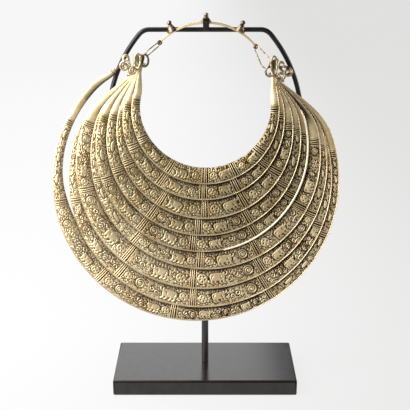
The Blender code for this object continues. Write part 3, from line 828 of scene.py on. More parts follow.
def tailPath(index, side, path, last, step):
    throat, tip = tipEnds(index, side)
    start = Vector(path["place"][last])
    out = path["out"][last]
    along = Vector((-out[1], out[0])) * side["sign"]
    rise = (tip - throat).normalized()
    length = (throat - start).length
    pull = along * length * stack["tailPull"]
    count = max(16, int(length / (2.4 * step)))
    loose = index == len(rings) - 1 and side["sign"] < 0
    tipWidth = stack["looseTipWidth"] if loose else stack["tipWidth"]
    rows = []
    for i in range(1, count + 1):
        s = i / count
        place = hermite(start, pull, throat, rise * stack["throatBend"], s)
        ahead = hermite(start, pull, throat, rise * stack["throatBend"], s + 0.001)
        heading = (ahead - place).normalized() if s < 1 else rise
        fade = s * s * (3 - 2 * s)
        width = between(path["width"][last], stack["tipWidth"], fade)
        if loose:  # fuller, and grown on its outer side alone
            full = between(path["width"][last] * 1.12, tipWidth, fade**1.5)
            extra = (full - width) * float(smooth(0, 0.4, s))
            outward = Vector((heading.y, -heading.x)) * side["sign"]
            place = place + outward * (extra / 2 + stack["looseBow"] * sin(pi * s) ** 2)
            width += extra
        rows.append((place, heading, width, between(path["shown"][last], width, min(1, s * 3))))
    reach = (tip - throat).length
    for i in range(1, 15):  # up to the rounded tip
        s = i / 14
        rest = reach * (1 - s)
        nose = sqrt(max(0.05, 1 - max(0.0, 1 - rest / 0.003) ** 2))
        width = tipWidth * nose
        outward = Vector((rise.y, -rise.x)) * side["sign"] * (tipWidth - stack["tipWidth"]) / 2
        rows.append((throat + outward + rise * reach * s, rise, width, width))
    place = np.array([row[0] for row in rows])
    steps = np.linalg.norm(np.diff(np.vstack([path["place"][last], place]), axis=0), axis=1)
    return {
        "place": place,
        "out": np.array([(row[1].y, -row[1].x) for row in rows]) * side["sign"],
        "width": np.array([row[2] for row in rows]),
        "crown": np.ones(len(rows)),
        "collar": np.zeros(len(rows)),
        "shown": np.array([row[3] for row in rows]),
        "along": path["along"][last] + side["sign"] * np.cumsum(steps),
        "angle": np.full(len(rows), path["angle"][last]),
        "arc": np.zeros(len(rows)),
    }


def bandHeight(path, across, rows=slice(None)):
    # Height of the rounded face above its layer, for across from -1 (inner) to 1 (outer)
    width = path["width"][rows][:, None]
    share = np.clip(width / stack["tipWidth"] - 1, 0, 1)
    rise = np.clip(1 - np.abs(across) ** 2.2, 0, 1) ** 0.85
    height = stack["tilt"] * width * share * across
    fullness = between(stack["tailRound"], stack["bandRound"], smooth(0.008, 0.016, width))
    height = height + fullness * stack["crown"] * width * path["crown"][rows][:, None] * rise
    return height + path["collar"][rows][:, None] * np.clip(1 - across**6, 0, 1)


def bandPoints(index, path, across, lift, rows=slice(None)):
    offset = across * path["width"][rows][:, None] / 2
    x = path["place"][rows, 0][:, None] + path["out"][rows, 0][:, None] * offset
    t = path["place"][rows, 1][:, None] + path["out"][rows, 1][:, None] * offset
    return onBibGrid(x, t, layerDepth(index) + bandHeight(path, across, rows) + lift)


# Rings: the chased ornament, drawn on a flat sheet in millimetres

ornament = {
    "pitch": 0.25,  # grid of the drawing, mm
    "seed": 11,
    "groove": 0.72,  # dark line round each motif, mm
    "incision": 0.44,  # half width of a chased line, mm
    "curlSpacing": 3.5,
    "reliefDepth": 0.00046,
}


def newSheet(start, end, depth):
    pitch = ornament["pitch"]
    shape = (int((end - start) / pitch) + 2, int(depth / pitch) + 3)
    return {"start": start, "height": np.full(shape, 0.58)}


def window(sheet, s, v, reach):
    pitch = ornament["pitch"]
    rows, columns = sheet["height"].shape
    i0 = max(0, int((s - reach - sheet["start"]) / pitch))
    i1 = min(rows, int((s + reach - sheet["start"]) / pitch) + 2)
    j0, j1 = max(0, int((v - reach) / pitch)), min(columns, int((v + reach) / pitch) + 2)
    if i0 >= i1 or j0 >= j1:
        return None
    x = (sheet["start"] + np.arange(i0, i1) * pitch - s)[:, None]
    y = (np.arange(j0, j1) * pitch - v)[None, :]
    return sheet["height"][i0:i1, j0:j1], x, y


def lay(sheet, s, v, reach, shape, turn=0.0, mirror=1, groove=None):
    # Raises a motif on the sheet. shape(x, y) gives the distance outside it and its height.
    groove = (ornament["groove"] if groove is None else groove) * boldness(sheet, s)
    found = window(sheet, s, v, reach)
    if not found:
        return
    part, x, y = found
    c, d = cos(turn), sin(turn)
    outside, height = shape(x * mirror * c + y * d, y * c - x * mirror * d)
    ring = (outside >= 0) & (outside < groove)
    part[ring] = np.minimum(part[ring], 0.0)
    inside = outside < 0
    part[inside] = np.broadcast_to(height, part.shape)[inside]


def boldness(sheet, s):
    # Lines are cut broader, for their size, where the band narrows
    room = np.interp(s, sheet["along"], sheet["shown"])
    return float(np.interp(room, (6.0, 9.0, 14.0), (0.95, 1.08, 1.0)))


def incise(sheet, s, v, reach, points, half=None, mirror=1):
    # Sinks a dark line along points
    half = (ornament["incision"] if half is None else half) * boldness(sheet, s)
    found = window(sheet, s, v, reach)
    if not found:
        return
    part, x, y = found
    away = distanceTo(points, x * mirror, y)
    part[:] = np.minimum(part, np.where(away < half, 0.25 * (away / half) ** 2, 1.0))


def distanceTo(points, x, y):
    best = np.full(np.broadcast(x, y).shape, 1e3)
    for (ax, ay), (bx, by) in zip(points, points[1:]):
        dx, dy = bx - ax, by - ay
        t = np.clip(((x - ax) * dx + (y - ay) * dy) / (dx * dx + dy * dy + 1e-9), 0, 1)
        best = np.minimum(best, np.hypot(x - ax - t * dx, y - ay - t * dy))
    return best


def line(points, half):
    # A raised rounded line along points
    def shape(x, y):
        away = distanceTo(points, x, y)
        return away - half, 0.5 + 0.45 * np.sqrt(np.clip(1 - (away / half) ** 2, 0, 1))

    return shape


def curl(radius, sweep, first=0.0, tail=0.0):
    # Points of a hook: part of a spiral that may run out into a straight tail
    count = max(5, int(sweep / 0.5))
    angles = np.linspace(first, first + sweep, count)
    size = radius * np.linspace(0.5, 1.0, count)
    points = [(r * cos(a), r * sin(a)) for a, r in zip(angles, size)]
    if tail:
        (x, y), a = points[-1], angles[-1]
        points.append((x - sin(a) * tail, y + cos(a) * tail))
    return points


def pad(halfX, halfY, power=2.8):
    # A smooth swelling with a rounded outline
    def shape(x, y):
        f = (np.abs(x / halfX) ** power + np.abs(y / halfY) ** power) ** (1 / power)
        return (f - 1) * min(halfX, halfY), 0.72 + 0.28 * np.clip(1 - f**3, 0, 1)

    return shape


def roundel(radius, pitch):
    # A coil of raised line round a small boss
    def shape(x, y):
        r = np.hypot(x, y)
        wave = np.cos(2 * pi * (r / pitch - np.arctan2(y, x) / (2 * pi)))
        height = np.where(r < pitch * 0.55, 0.95, np.clip(0.52 + 0.62 * wave, 0.0, 0.95))
        return r - radius, height

    return shape


def boss(radius, specks, first):
    # A dome pricked with a ring of dark specks
    def shape(x, y):
        r = np.hypot(x, y)
        height = 0.7 + 0.3 * np.clip(1 - (r / radius) ** 3, 0, 1)
        for k in range(specks):
            a = 2 * pi * k / specks + first
            d = np.hypot(x - 0.5 * radius * cos(a), y - 0.5 * radius * sin(a))
            height = np.where(d < max(0.45, 0.17 * radius), 0.0, height)
        return r - radius, height

    return shape


def joined(*shapes):
    # Several shapes as one, with no line between them
    def shape(x, y):
        outside, height = shapes[0](x, y)
        outside, height = outside + 0 * x + 0 * y, height + 0 * x + 0 * y
        for other in shapes[1:]:
            away, rise = other(x, y)
            height = np.where((away < 0) & ((outside >= 0) | (rise > height)), rise, height)
            outside = np.minimum(outside, away)
        return outside, height

    return shape


def moved(shape, dx, dy):
    return lambda x, y: shape(x - dx, y - dy)


def leaf(half, count):
    # A pointed leaf cut into veins
    def shape(x, y):
        outline = np.abs(y) - 0.46 * half * np.clip(1 - (x / half) ** 2, 0, 1)
        outline = np.where(np.abs(x) > half, np.abs(x) - half + 0.01, outline)
        vein = np.cos(2 * pi * (x + np.abs(y) * 0.8) / (2 * half / count))
        return outline, np.clip(0.5 + 0.6 * vein, 0.05, 0.95)

    return shape


def motif(sheet, kind, s, v, size, mirror, dice):
    if kind == "boss":
        for k in range(7):  # rays round the boss
            a = 2 * pi * (k + 0.5) / 7
            x, y = s + size * 0.98 * cos(a), v + size * 0.98 * sin(a)
            lay(sheet, x, y, size * 0.7, pad(size * 0.3, size * 0.2, 2.0), a, 1, 0.5)
        dome = boss(size * 0.8, int(dice.integers(3, 6)), dice.uniform(0, 2))
        lay(sheet, s, v, size * 1.5, dome, 0.0, mirror)
    elif kind == "pad":
        # A plump body on four curled feet, with a curled end, all in one relief
        pieces = [pad(size * 1.12, size * 0.56, dice.uniform(2.4, 4.0))]
        for k in (-0.86, -0.34, 0.34, 0.86):
            foot = [(0.0, -size * 0.3), (0.0, -size * 0.82), (size * 0.22, -size * 1.0)]
            pieces.append(moved(line(foot, size * 0.12 + 0.22), k * size, 0.0))
        curled = [(x + size * 1.22, y + size * 0.42) for x, y in curl(size * 0.34, 4.0, 2.6)]
        pieces.append(line(curled[::-1] + [(size * 0.9, 0.0)], size * 0.1 + 0.22))
        lay(sheet, s, v + size * 0.12, size * 2.4, joined(*pieces), dice.uniform(-0.12, 0.12), mirror)
        for k in (-0.62, 0.62):  # haunch and shoulder
            incise(sheet, s + k * size, v + size * 0.12, size, curl(size * 0.26, 2.6, 1.8 + k), 0.34, mirror)
        for k in range(6):  # short strokes above it
            x = s + (k - 2.5) * size * 0.46
            incise(sheet, x, v + size * 1.04, 3, [(-0.4, -size * 0.16), (0.4, size * 0.2)], mirror=mirror)
    elif kind == "slip":
        # A long smooth body with a hooked end
        stem = pad(size * 1.45, size * 0.5, 2.2)
        hook = [(x + size * 1.3, y + size * 0.4) for x, y in curl(size * 0.4, 4.2, 2.4)]
        hooked = line(hook[::-1] + [(size * 1.0, 0.0)], 0.42)
        lay(sheet, s, v, size * 2.4, joined(stem, hooked), dice.uniform(-0.15, 0.15), mirror, 0.6)
    elif kind == "scroll":
        for k in (-1, 1):
            hook = curl(size * 0.5, 5.4, pi * (k < 0) + 0.8)
            points = [(k * size * 0.56 + x, k * size * 0.12 + y) for x, y in hook]
            lay(sheet, s, v, size * 1.8, line(points, 0.62), 0.2, mirror, 0.7)
        tie = [(-size * 0.9, -size * 0.85), (0, -size * 0.6), (size * 0.9, -size * 0.9)]
        lay(sheet, s, v, size * 1.8, line(tie, 0.5), 0, mirror, 0.6)
    elif kind == "leaf":
        for k in (-1, 1, 0):
            x = s + k * mirror * size * 0.46
            lay(sheet, x, v + abs(k) * size * 0.18, size * 1.4, leaf(size * 0.9, 4), 1.25 - 0.5 * k, mirror)
    elif kind == "roundel":
        lay(sheet, s, v, size * 1.6, roundel(size * 1.1, size * 0.44), 0.0, mirror)
        for k in range(12):  # grains round it
            a = 2 * pi * k / 12
            x, y = s + size * 1.5 * cos(a), v + size * 1.3 * sin(a)
            incise(sheet, x, y, 1.5, [(0, 0), (0.3, 0.2)], 0.5)
        for k in (-1, 1):
            hook = line(curl(size * 0.46, 4.2, 1.0, size * 0.5), 0.55)
            x, y = s + mirror * size * 1.75, v + k * size * 0.5
            lay(sheet, x, y, size * 1.2, hook, 0.9 * k, mirror * k)


def ribBand(i, total):
    # How many ribs a band has, and how far apart: the bands at the ends are more open
    return (5, 0.0020) if i in (0, total - 1) else (4, 0.0021)


panelRhythm = {
    # motif order outwards from the rib band nearer the middle, by how long the panel is
    "short": ("boss", "pad", "roundel"),
    "middle": ("boss", "pad", "scroll", "roundel"),
    "long": ("boss", "pad", "leaf", "scroll", "roundel"),
    "flank": ("scroll", "leaf", "pad", "scroll", "leaf", "scroll", "pad", "leaf"),
    "slim": ("gap", "slip", "gap", "slip", "boss"),
}
# The room along a band that each motif takes and its size, both as shares of the shown width
motifRoom = {
    "gap": 1.1, "slip": 1.0, "boss": 0.52, "pad": 0.92, "scroll": 0.66, "leaf": 0.62, "roundel": 0.95,
}
motifSize = {
    "gap": 0.1, "slip": 0.30, "boss": 0.30, "pad": 0.34, "scroll": 0.26, "leaf": 0.34, "roundel": 0.25,
}


def shownAt(sheet, s):
    return float(np.interp(s, sheet["along"], sheet["shown"]))


def chaseGround(sheet, start, end, dice):
    # Ground of small chased curls
    s = start
    while s < end:
        room = shownAt(sheet, s)
        pace = ornament["curlSpacing"] * float(np.clip(room / 14, 0.78, 1.0))
        lanes = max(2, int(room * 1.06 / pace))
        for k in range(lanes):
            v = (k + 0.5) / lanes * room * 1.02 + dice.uniform(-0.5, 0.5)
            x = s + dice.uniform(-0.9, 0.9)
            sweep, first = dice.uniform(1.6, 4.6), dice.uniform(0, 6.28)
            points = curl(pace * dice.uniform(0.28, 0.5), sweep, first, dice.uniform(0, 1.4))
            incise(sheet, x, v, pace * 1.3, points, mirror=dice.choice((-1, 1)))
        s += pace


def panelOrder(ratio, room):
    # Which motifs a panel holds, by how long it is for its width
    if room < 11.5:
        return panelRhythm["slim"]
    if ratio < 2.9:
        return panelRhythm["short"]
    if ratio < 3.7:
        return panelRhythm["middle"]
    return panelRhythm["long" if ratio < 4.6 else "flank"]


def fillPanel(sheet, low, high, mirror, dice):
    # Sets motifs outwards from the rib band nearer the middle
    room = shownAt(sheet, (low + high) / 2)
    ratio = (high - low) / room
    used, picks = 0.0, []
    for kind in panelOrder(ratio, room) * 3:
        if used + motifRoom[kind] > ratio + 0.1:
            break
        picks.append(kind)
        used += motifRoom[kind]
    spare = max(0.0, ratio - used) / max(1, len(picks))
    s = low if mirror > 0 else high
    for kind in picks:
        span = (motifRoom[kind] + spare) * shownAt(sheet, s)
        centre = s + mirror * span / 2
        size = shownAt(sheet, centre) * motifSize[kind] * dice.uniform(0.92, 1.06)
        v = shownAt(sheet, centre) * (0.50 + dice.uniform(-0.05, 0.04))
        motif(sheet, kind, centre, v, size, mirror, dice)
        s += mirror * span


def drawOrnament(index, path):
    # Heights from 0 to 1 over the ornamented part of a ring, in mm along and in from the rim
    _, radius, _, turns = ringShape(index)
    dice = np.random.default_rng(ornament["seed"] + index)
    arc = path["arc"] > 0
    scale = (radius - stack["track"]) * 1000
    start, end = turns[0] * scale, turns[-1] * scale
    sheet = newSheet(start - 4, end + 4, path["width"].max() * 1000)
    sheet["along"], sheet["shown"] = path["along"][arc] * 1000, path["shown"][arc] * 1000
    chaseGround(sheet, start, end, dice)
    for left, right in zip(turns, turns[1:]):
        mirror = 1 if (left + right) / 2 > radians(between(0, -8, index / 8)) else -1
        fillPanel(sheet, left * scale + 4.0, right * scale - 4.0, mirror, dice)

    # Plain seats for the rib bands, and the lip by the rim
    pitch = ornament["pitch"]
    rows = sheet["start"] + np.arange(sheet["height"].shape[0]) * pitch
    for i, turn in enumerate(turns):
        count, spacing = ribBand(i, len(turns))
        near = np.abs(rows - turn * scale) < (count - 1) / 2 * spacing * 1000 + 0.8
        sheet["height"][near] = 0.14
    depths = np.arange(sheet["height"].shape[1]) * pitch
    room = np.interp(rows, sheet["along"], sheet["shown"])[:, None]
    lip = depths[None, :] < np.maximum(0.9, 0.085 * room)
    sheet["height"][lip] = 0.62
    return sheet


def sampleSheet(sheet, s, v):
    pitch = ornament["pitch"]
    rows, columns = sheet["height"].shape
    a = np.clip((s - sheet["start"]) / pitch, 0, rows - 1.001)
    b = np.clip(v / pitch, 0, columns - 1.001)
    i, j = a.astype(int), b.astype(int)
    a, b = a - i, b - j
    h = sheet["height"]
    top = h[i, j] * (1 - b) + h[i, j + 1] * b
    low = h[i + 1, j] * (1 - b) + h[i + 1, j + 1] * b
    return top * (1 - a) + low * a


# Rings: building them

ringBuild = {
    "step": 0.00052,
    "quickStep": 0.0011,
    "backColumns": 7,
    "hiddenColumns": 3,
    "rimRadius": 0.0005,
    "broadRim": 0.00098,
    "brightFrom": radians(12),
    "brightWidth": 0.0098,
    "ribRadius": 0.00050,
    "ribPoints": 22,
}


def showTails(index, path, step):
    # A tail shows what lies between its edge and the edge of the tail in front
    inFront = ringPath(index - 1, 3 * step)
    edges = [p["place"] + p["out"] * p["width"][:, None] / 2 for p in (path, inFront)]
    apart = np.linalg.norm(edges[0][:, None, :] - edges[1][None, :, :], axis=2).min(axis=1)
    tails = path["arc"] == 0
    path["shown"][tails] = np.clip(apart, 0.0011, path["width"])[tails]


def deepened(patinaAndShade, more):
    # Adds more darkening, tarnish and painted shade alike, to what is there already
    return 1 - (1 - patinaAndShade) * (1 - more)


def shadeBesideNext(index, path, depth, past):
    # Painted shade under the ring in front, with some tarnish that it keeps from being rubbed off. Seen from
    # a little above, that ring hides about 1 mm more at the bottom.
    seen = path["shown"] - 0.0011 * np.clip(np.cos(path["angle"]), 0, 1) * path["arc"]
    share = depth / seen[:, None]
    near = 0.3 * smooth(0.4, 0.84, share) + 0.6 * smooth(0.82, 0.95, share)
    # The painted shade is lighter on the left flank, which faces the key lamp
    near = near * (1 - 0.45 * np.clip(-np.sin(path["angle"]), 0, 1))[:, None]
    # On the tails it is a shadowed gap, widest beside the bright rim
    onRight = path["angle"][:, None] > 0
    gapStart = np.where(onRight, 0.02 if index in (5, 6) else 0.45, 0.6)
    shade = np.where(onRight, 0.95 if index < 7 else 0.55, 0.75)
    shadow = shade * np.clip((share - gapStart) / np.where(onRight, 0.4, 0.25), 0, 1)
    return between(near, shadow, smooth(-0.006, 0.014, past)[:, None])


def tarnishAndShadeOn(index, path, depth, across, height, inside, past, paler):
    # Share of tarnish and painted shade over a ring's face, the tarnish most of all in the sunk ornament
    patinaAndShade = (1 - smooth(0.12, 0.46, height)) * inside + 0.07 * (1 - inside)
    if index:
        patinaAndShade = deepened(patinaAndShade, shadeBesideNext(index, path, depth, past))
    # Painted shade: the right flank, turned from the key lamp, is darkened, above all on the smaller rings
    # and in the sunk ground, and the left flank is lightened. The rings are also darker towards the bottom,
    # the larger ones more so.
    turned, arc = np.sin(path["angle"])[:, None], path["arc"][:, None]
    low = np.clip(np.cos(path["angle"]), 0, 1)[:, None] * arc
    right = np.clip(turned, 0, 1) * arc
    pastLip = smooth(0.3, 1.2, depth * 1000 - 0.085 * path["shown"][:, None] * 1000)
    ground = smooth(0.69, 0.55, height) * pastLip * inside
    patinaAndShade = patinaAndShade * (1 - 0.2 * np.clip(-turned, 0, 1))
    patinaAndShade = deepened(patinaAndShade, low * (0.12 if index > 3 else 0.03))
    patinaAndShade = deepened(patinaAndShade, right * between(0.1, 0.0, index / 8))
    patinaAndShade = deepened(patinaAndShade, right * ground * between(0.42, 0.22, index / 8))
    # Painted shade in the gaps between the plain tails
    tail = 1 - arc
    edges = smooth(0.45, 0.98, np.abs(across)) * (0.25 + 0.75 * tail)
    narrow = smooth(0.016, 0.009, path["width"])[:, None]
    patinaAndShade = deepened(patinaAndShade, (0.6 - 0.4 * paler) * edges * narrow * tail)
    fromTip = np.minimum(path["along"] - path["along"][0], path["along"][-1] - path["along"])[:, None]
    if index == len(rings) - 1:  # painted shade along its inner side, and a dark line near the loose tip
        darkLine = 0.75 * smooth(0.0022, 0.0030, fromTip) * smooth(0.0052, 0.0044, fromTip)
        lineAndShade = np.maximum(darkLine, 0.5 * smooth(0.75, -0.5, across))
        return deepened(patinaAndShade, lineAndShade * tail * np.clip(-turned, 0, 1))
    # Browner towards the bound tips, and much darker close to each tip's end
    patinaAndShade = deepened(patinaAndShade, 0.15 * smooth(0.0075, 0.0035, path["width"])[:, None] * tail)
    return deepened(patinaAndShade, 0.85 * smooth(0.011, 0.007, fromTip))


def ringSheet(name, index, path, step, turns, scale, tone):
    # Columns: fine over what shows, coarse under the next ring, coarse on the hollow back
    width = path["width"]
    fineSpan = np.minimum(path["shown"] + 0.0012, 0.94 * width)
    fine = int(np.ceil((path["shown"] * path["arc"]).max() / step))
    fineShare = np.linspace(0, 1, fine + 1)[None, :] * fineSpan[:, None]
    hidden = np.linspace(0, 1, ringBuild["hiddenColumns"] + 1)[None, 1:]
    depth = np.concatenate([fineShare, fineSpan[:, None] + hidden * (width - fineSpan)[:, None]], axis=1)
    across = 1 - 2 * depth / width[:, None]
    front = bandPoints(index, path, across, 0.0)
    backAcross = np.linspace(-1, 1, ringBuild["backColumns"])[None, :] * np.ones((len(width), 1))
    back = bandPoints(index, path, backAcross, -stack["wall"])
    points = np.concatenate([front, back], axis=1)

    # Ornament between the first and the last rib band, fading out under the next ring
    sheet = drawOrnament(index, path)
    s = path["along"][:, None] * np.ones_like(depth)
    height = sampleSheet(sheet, s * 1000, depth * 1000)
    inside = smooth(turns[0] * scale - 0.003, turns[0] * scale - 0.0022, s)
    inside = inside * (1 - smooth(turns[-1] * scale + 0.0022, turns[-1] * scale + 0.003, s))
    if index:
        inside = inside * (1 - smooth(1.02, 1.10, depth / path["shown"][:, None]))

    # How far past the arc a point lies. The plain tails are rubbed pale.
    ends = path["along"][path["arc"] > 0][[0, -1]]
    past = np.maximum(ends[0] - path["along"], path["along"] - ends[1])
    paler = (np.where(path["angle"] > 0, 0.95, 0.72) * smooth(-0.009, 0.003, past))[:, None]
    patinaAndShade = tarnishAndShadeOn(index, path, depth, across, height, inside, past, paler)
    zero = np.zeros(backAcross.shape)
    values = {
        "relief": np.concatenate([(height * 2 - 1) * inside, zero], axis=1),
        "patinaAndShade": np.concatenate([patinaAndShade, zero + 0.35], axis=1),
        "tone": np.maximum(np.full(points.shape[:2], tone), paler),
    }
    return gridMesh(name, points, values)


def rolledRim(name, index, path, every, tone):
    # Along the outer edge, and on over the right-hand tails of the smaller rings
    width, radius = path["width"], ringBuild["rimRadius"]
    onTail = (width > 0.0040) & (index < 5) & (path["angle"] > 0)
    rows = np.flatnonzero((path["arc"] > 0) | onTail)[every]
    ends = np.minimum(np.arange(len(rows)), np.arange(len(rows))[::-1]) / (0.12 * len(rows))
    taper = np.clip(width[rows] / 0.010, 0.55, 1.0) * (0.1 + 0.9 * np.clip(ends, 0, 1))
    edge = 1 - 2 * radius * taper * 0.8 / width[rows]
    rim = bandPoints(index, path, edge[:, None], 0.0, rows)[:, 0]
    attributes = {
        "thickness": [taper],
        "patinaAndShade": [np.zeros(len(rows))],
        "tone": [np.full(len(rows), max(tone, 0.9))],
        "polish": [np.ones(len(rows))],
    }
    return wire(name + "_rim", [rim], radius, silver, sides=8, attributes=attributes)


def brightRim(name, index, path, every):
    # A broad rim along the right of the ring, coloured as a painted highlight
    width, radius = path["width"], ringBuild["broadRim"]
    bright = (path["angle"] > ringBuild["brightFrom"]) & (width > ringBuild["brightWidth"])
    rows = np.flatnonzero(bright)[every]
    share = np.linspace(0, 1, len(rows))
    thick = np.maximum(radius * smooth(0, 0.4, share) * (1 - smooth(0.84, 1, share)), 0.0002)
    edge = 1 - 2 * thick * 0.55 / width[rows]
    rim = bandPoints(index, path, edge[:, None], 0.0002, rows)[:, 0]
    size = {"thickness": [thick / radius]}
    return wire(name + "_bright_rim", [rim], radius, highlightSilver, sides=12, attributes=size)


def ribs(name, index, path, turns, scale, tone):
    # Bands of raised ribs across the face
    runs, sizes, wearAndShade = [], [], []
    for i, turn in enumerate(turns):
        count, spacing = ribBand(i, len(turns))
        for k in range(count):
            at = turn + (k - (count - 1) / 2) * spacing / scale
            row = np.argmin(np.abs(path["angle"] - at) + (1 - path["arc"]) * 9)
            width, shown = path["width"][row], path["shown"][row]
            v = np.linspace(0.0008, min(shown * 1.05, width * 0.97), ringBuild["ribPoints"])
            across = 1 - 2 * v / width
            runs.append(bandPoints(index, path, across[None, :], -0.00005, slice(row, row + 1))[0])
            sizes.append(np.full(len(v), float(np.clip(width / 0.016, 0.7, 1.0))))
            # Painted shade darkens each rib where it runs in under the ring in front
            wearAndShade.append(0.02 + (0.55 * smooth(0.8, 1.0, v / shown) if index else np.zeros(len(v))))
    attributes = {
        "thickness": sizes, "patinaAndShade": wearAndShade, "tone": [np.full(len(w), max(tone, 0.2)) for w in wearAndShade]
    }
    return wire(name + "_ribs", runs, ringBuild["ribRadius"], silver, sides=8, attributes=attributes)


def buildRing(index):
    step = ringBuild["step"]
    every = slice(0, None, 3)
    _, radius, _, turns = ringShape(index)
    scale = radius - stack["track"]
    tone = smooth(2.5, 7.0, index)
    path = ringPath(index, step)
    if index:
        showTails(index, path, step)
    node = f"torque_{index + 1}"
    name = f"ring_{index + 1}"
    mesh = ringSheet(name, index, path, step, turns, scale, tone)
    inputs = {"Relief Depth": ornament["reliefDepth"], "Material": silver}
    dress(grown(name, mesh, chasedSheet, inputs), "aged_silver", node)
    dress(rolledRim(name, index, path, every, tone), "aged_silver", node)
    if index == 4:
        dress(brightRim(name, index, path, every), "aged_silver", node)
    dress(ribs(name, index, path, turns, scale, tone), "aged_silver", node)
    print(name, len(mesh.vertices), "points on the sheet")


# Wires that hold the bundles

wires = {
    "wire": 0.0006,
    "linkWire": 0.00045,
    "pinWidth": 0.009,
    "pinBroad": 0.0076,  # of the finished pin
    "pinShift": (0.0004, -0.0006),
    "bindingCorner": 0.0009,
    "coilWire": 0.00055,
    "coilRadius": 0.0041,
    "coilTurns": 1.75,
    "coilStart": 0.0010,
    "coilRise": 0.0016,
    "lobeRadius": 0.0041,
    "lobeTurns": 1.5,
    "lobeUp": 0.0036,
    "eyeletRadius": 0.0023,
    "hairpinWidth": 0.0054,
    "hairpinFoot": -0.0038,  # from the coil's centre
    "play": 0.0006,
    # radius of each finished wire, and whether it closes on itself
    "finished": {
        "pin": (0.0010, True),
        "link": (0.0006, True),
        "binding": (0.00085, True),
        "coil": (0.00125, False),
        "hairpin": (0.00095, False),
    },
}
# Across, in hairpin widths, and up, as a share of the hairpin's height
hairpinRoute = (
    (2.30, 0.00), (1.18, 0.12), (0.38, 0.34), (0.02, 0.64), (0.08, 0.90),
    (0.50, 1.00), (0.93, 0.88), (1.00, 0.62), (1.02, 0.42),
)


def pinDepth():
    front = layerDepth(3) - stack["wall"]
    return (front + layerDepth(4) + stack["crown"] * stack["tipWidth"]) / 2


def pinPoints(side):
    shiftX, shiftT = wires["pinShift"]
    points = []
    for i in range(48):
        angle = 2 * pi * i / 48
        x = side["pinX"] + side["sign"] * shiftX + wires["pinBroad"] / 2 * cos(angle)
        t = side["pinT"] + shiftT + side["pinTall"] / 2 * sin(angle)
        points.append(onBib(x, t, pinDepth()))
    return points


def linkPoints(side):
    # A long loop with unlike ends, through the strip's eye and round the pin
    eyeAt = eyeCentre(side)
    pinAt = onBib(side["pinX"], side["pinT"], pinDepth())
    way = Vector((pinAt.x - eyeAt.x, 0, pinAt.z - eyeAt.z)).normalized()
    halfX, halfT = wires["pinWidth"] / 2, side["pinHeight"] / 2
    reach = sqrt((halfX * way.x) ** 2 + (halfT * way.z) ** 2)
    eyeWire = eyeAt + way * neckStrip["eyeRadius"]
    pinWire = onBib(
        side["pinX"] - halfX**2 * way.x / reach, side["pinT"] - halfT**2 * way.z / reach, pinDepth()
    )
    toward = (pinWire - eyeWire).normalized()
    start = eyeWire - toward * (neckStrip["eyeWire"] + wires["linkWire"] + wires["play"])
    end = pinWire + toward * (wires["wire"] + wires["linkWire"] + wires["play"])
    flat = toward.cross(Vector((0, 1, 0))).normalized()
    deep = toward.cross(flat).normalized() * side["sign"]
    sideways = flat * cos(side["linkRoll"]) + deep * sin(side["linkRoll"])
    near, far = side["linkNear"], side["linkFar"]
    span = (end - start).length - near - far
    turn = acos((near - far) / span)
    nearCentre = start + toward * near
    farCentre = nearCentre + toward * span
    points = []
    for i in range(25):
        angle = between(turn, 2 * pi - turn, i / 24)
        points.append(nearCentre + (toward * cos(angle) + sideways * sin(angle)) * near)
    for i in range(25):
        angle = between(-turn, turn, i / 24)
        points.append(farCentre + (toward * cos(angle) + sideways * sin(angle)) * far)
    return points


def frontDepth():
    return layerDepth(0) + stack["crown"] * stack["tipWidth"] + gap + wires["wire"]


def bindingPoints(side):
    # The wire round a bundle of tips, which passes through the pin's oval
    reach = gap + wires["wire"] + stack["tipWidth"] / 2
    inner = between(side["throatX"], side["tipX"], 0.5)
    for _ in range(4):
        offset = (inner - side["pinX"]) / (wires["pinWidth"] / 2)
        pinLow = side["pinT"] - side["pinHeight"] / 2 * sqrt(max(0.0, 1 - offset**2))
        t = pinLow + 2 * wires["wire"] + 2 * wires["play"]
        share = (t - side["throatT"]) / (side["tipT"] - side["throatT"])
        spread = between(stack["throatSpread"], side["tipSpread"], share) / 2
        middle = between(side["throatX"], side["tipX"], share)
        inner = middle - side["sign"] * (spread + reach)
    outer = middle + side["sign"] * (spread + reach)
    lowX, highX = min(inner, outer), max(inner, outer)
    back = layerDepth(side["tips"] - 1) - stack["wall"] - gap - wires["wire"]
    front, corner = frontDepth(), wires["bindingCorner"]
    points = []
    for x, n, first in (
        (highX - corner, front - corner, 0),
        (lowX + corner, front - corner, 90),
        (lowX + corner, back + corner, 180),
        (highX - corner, back + corner, 270),
    ):
        for i in range(9):
            angle = radians(first + 90 * i / 8)
            points.append(onBib(x + corner * cos(angle), t, n + corner * sin(angle)))
    return points


def spiral(centre, start, end, turns, lastAngle, direction, steps):
    points = []
    for i in range(steps + 1):
        s = i / steps
        angle = lastAngle - direction * 2 * pi * turns * (1 - s)
        points.append(centre + Vector((cos(angle), sin(angle))) * between(start, end, s))
    return points


def hairpinDepth():
    return frontDepth() + wires["wire"] + gap + wires["coilWire"]


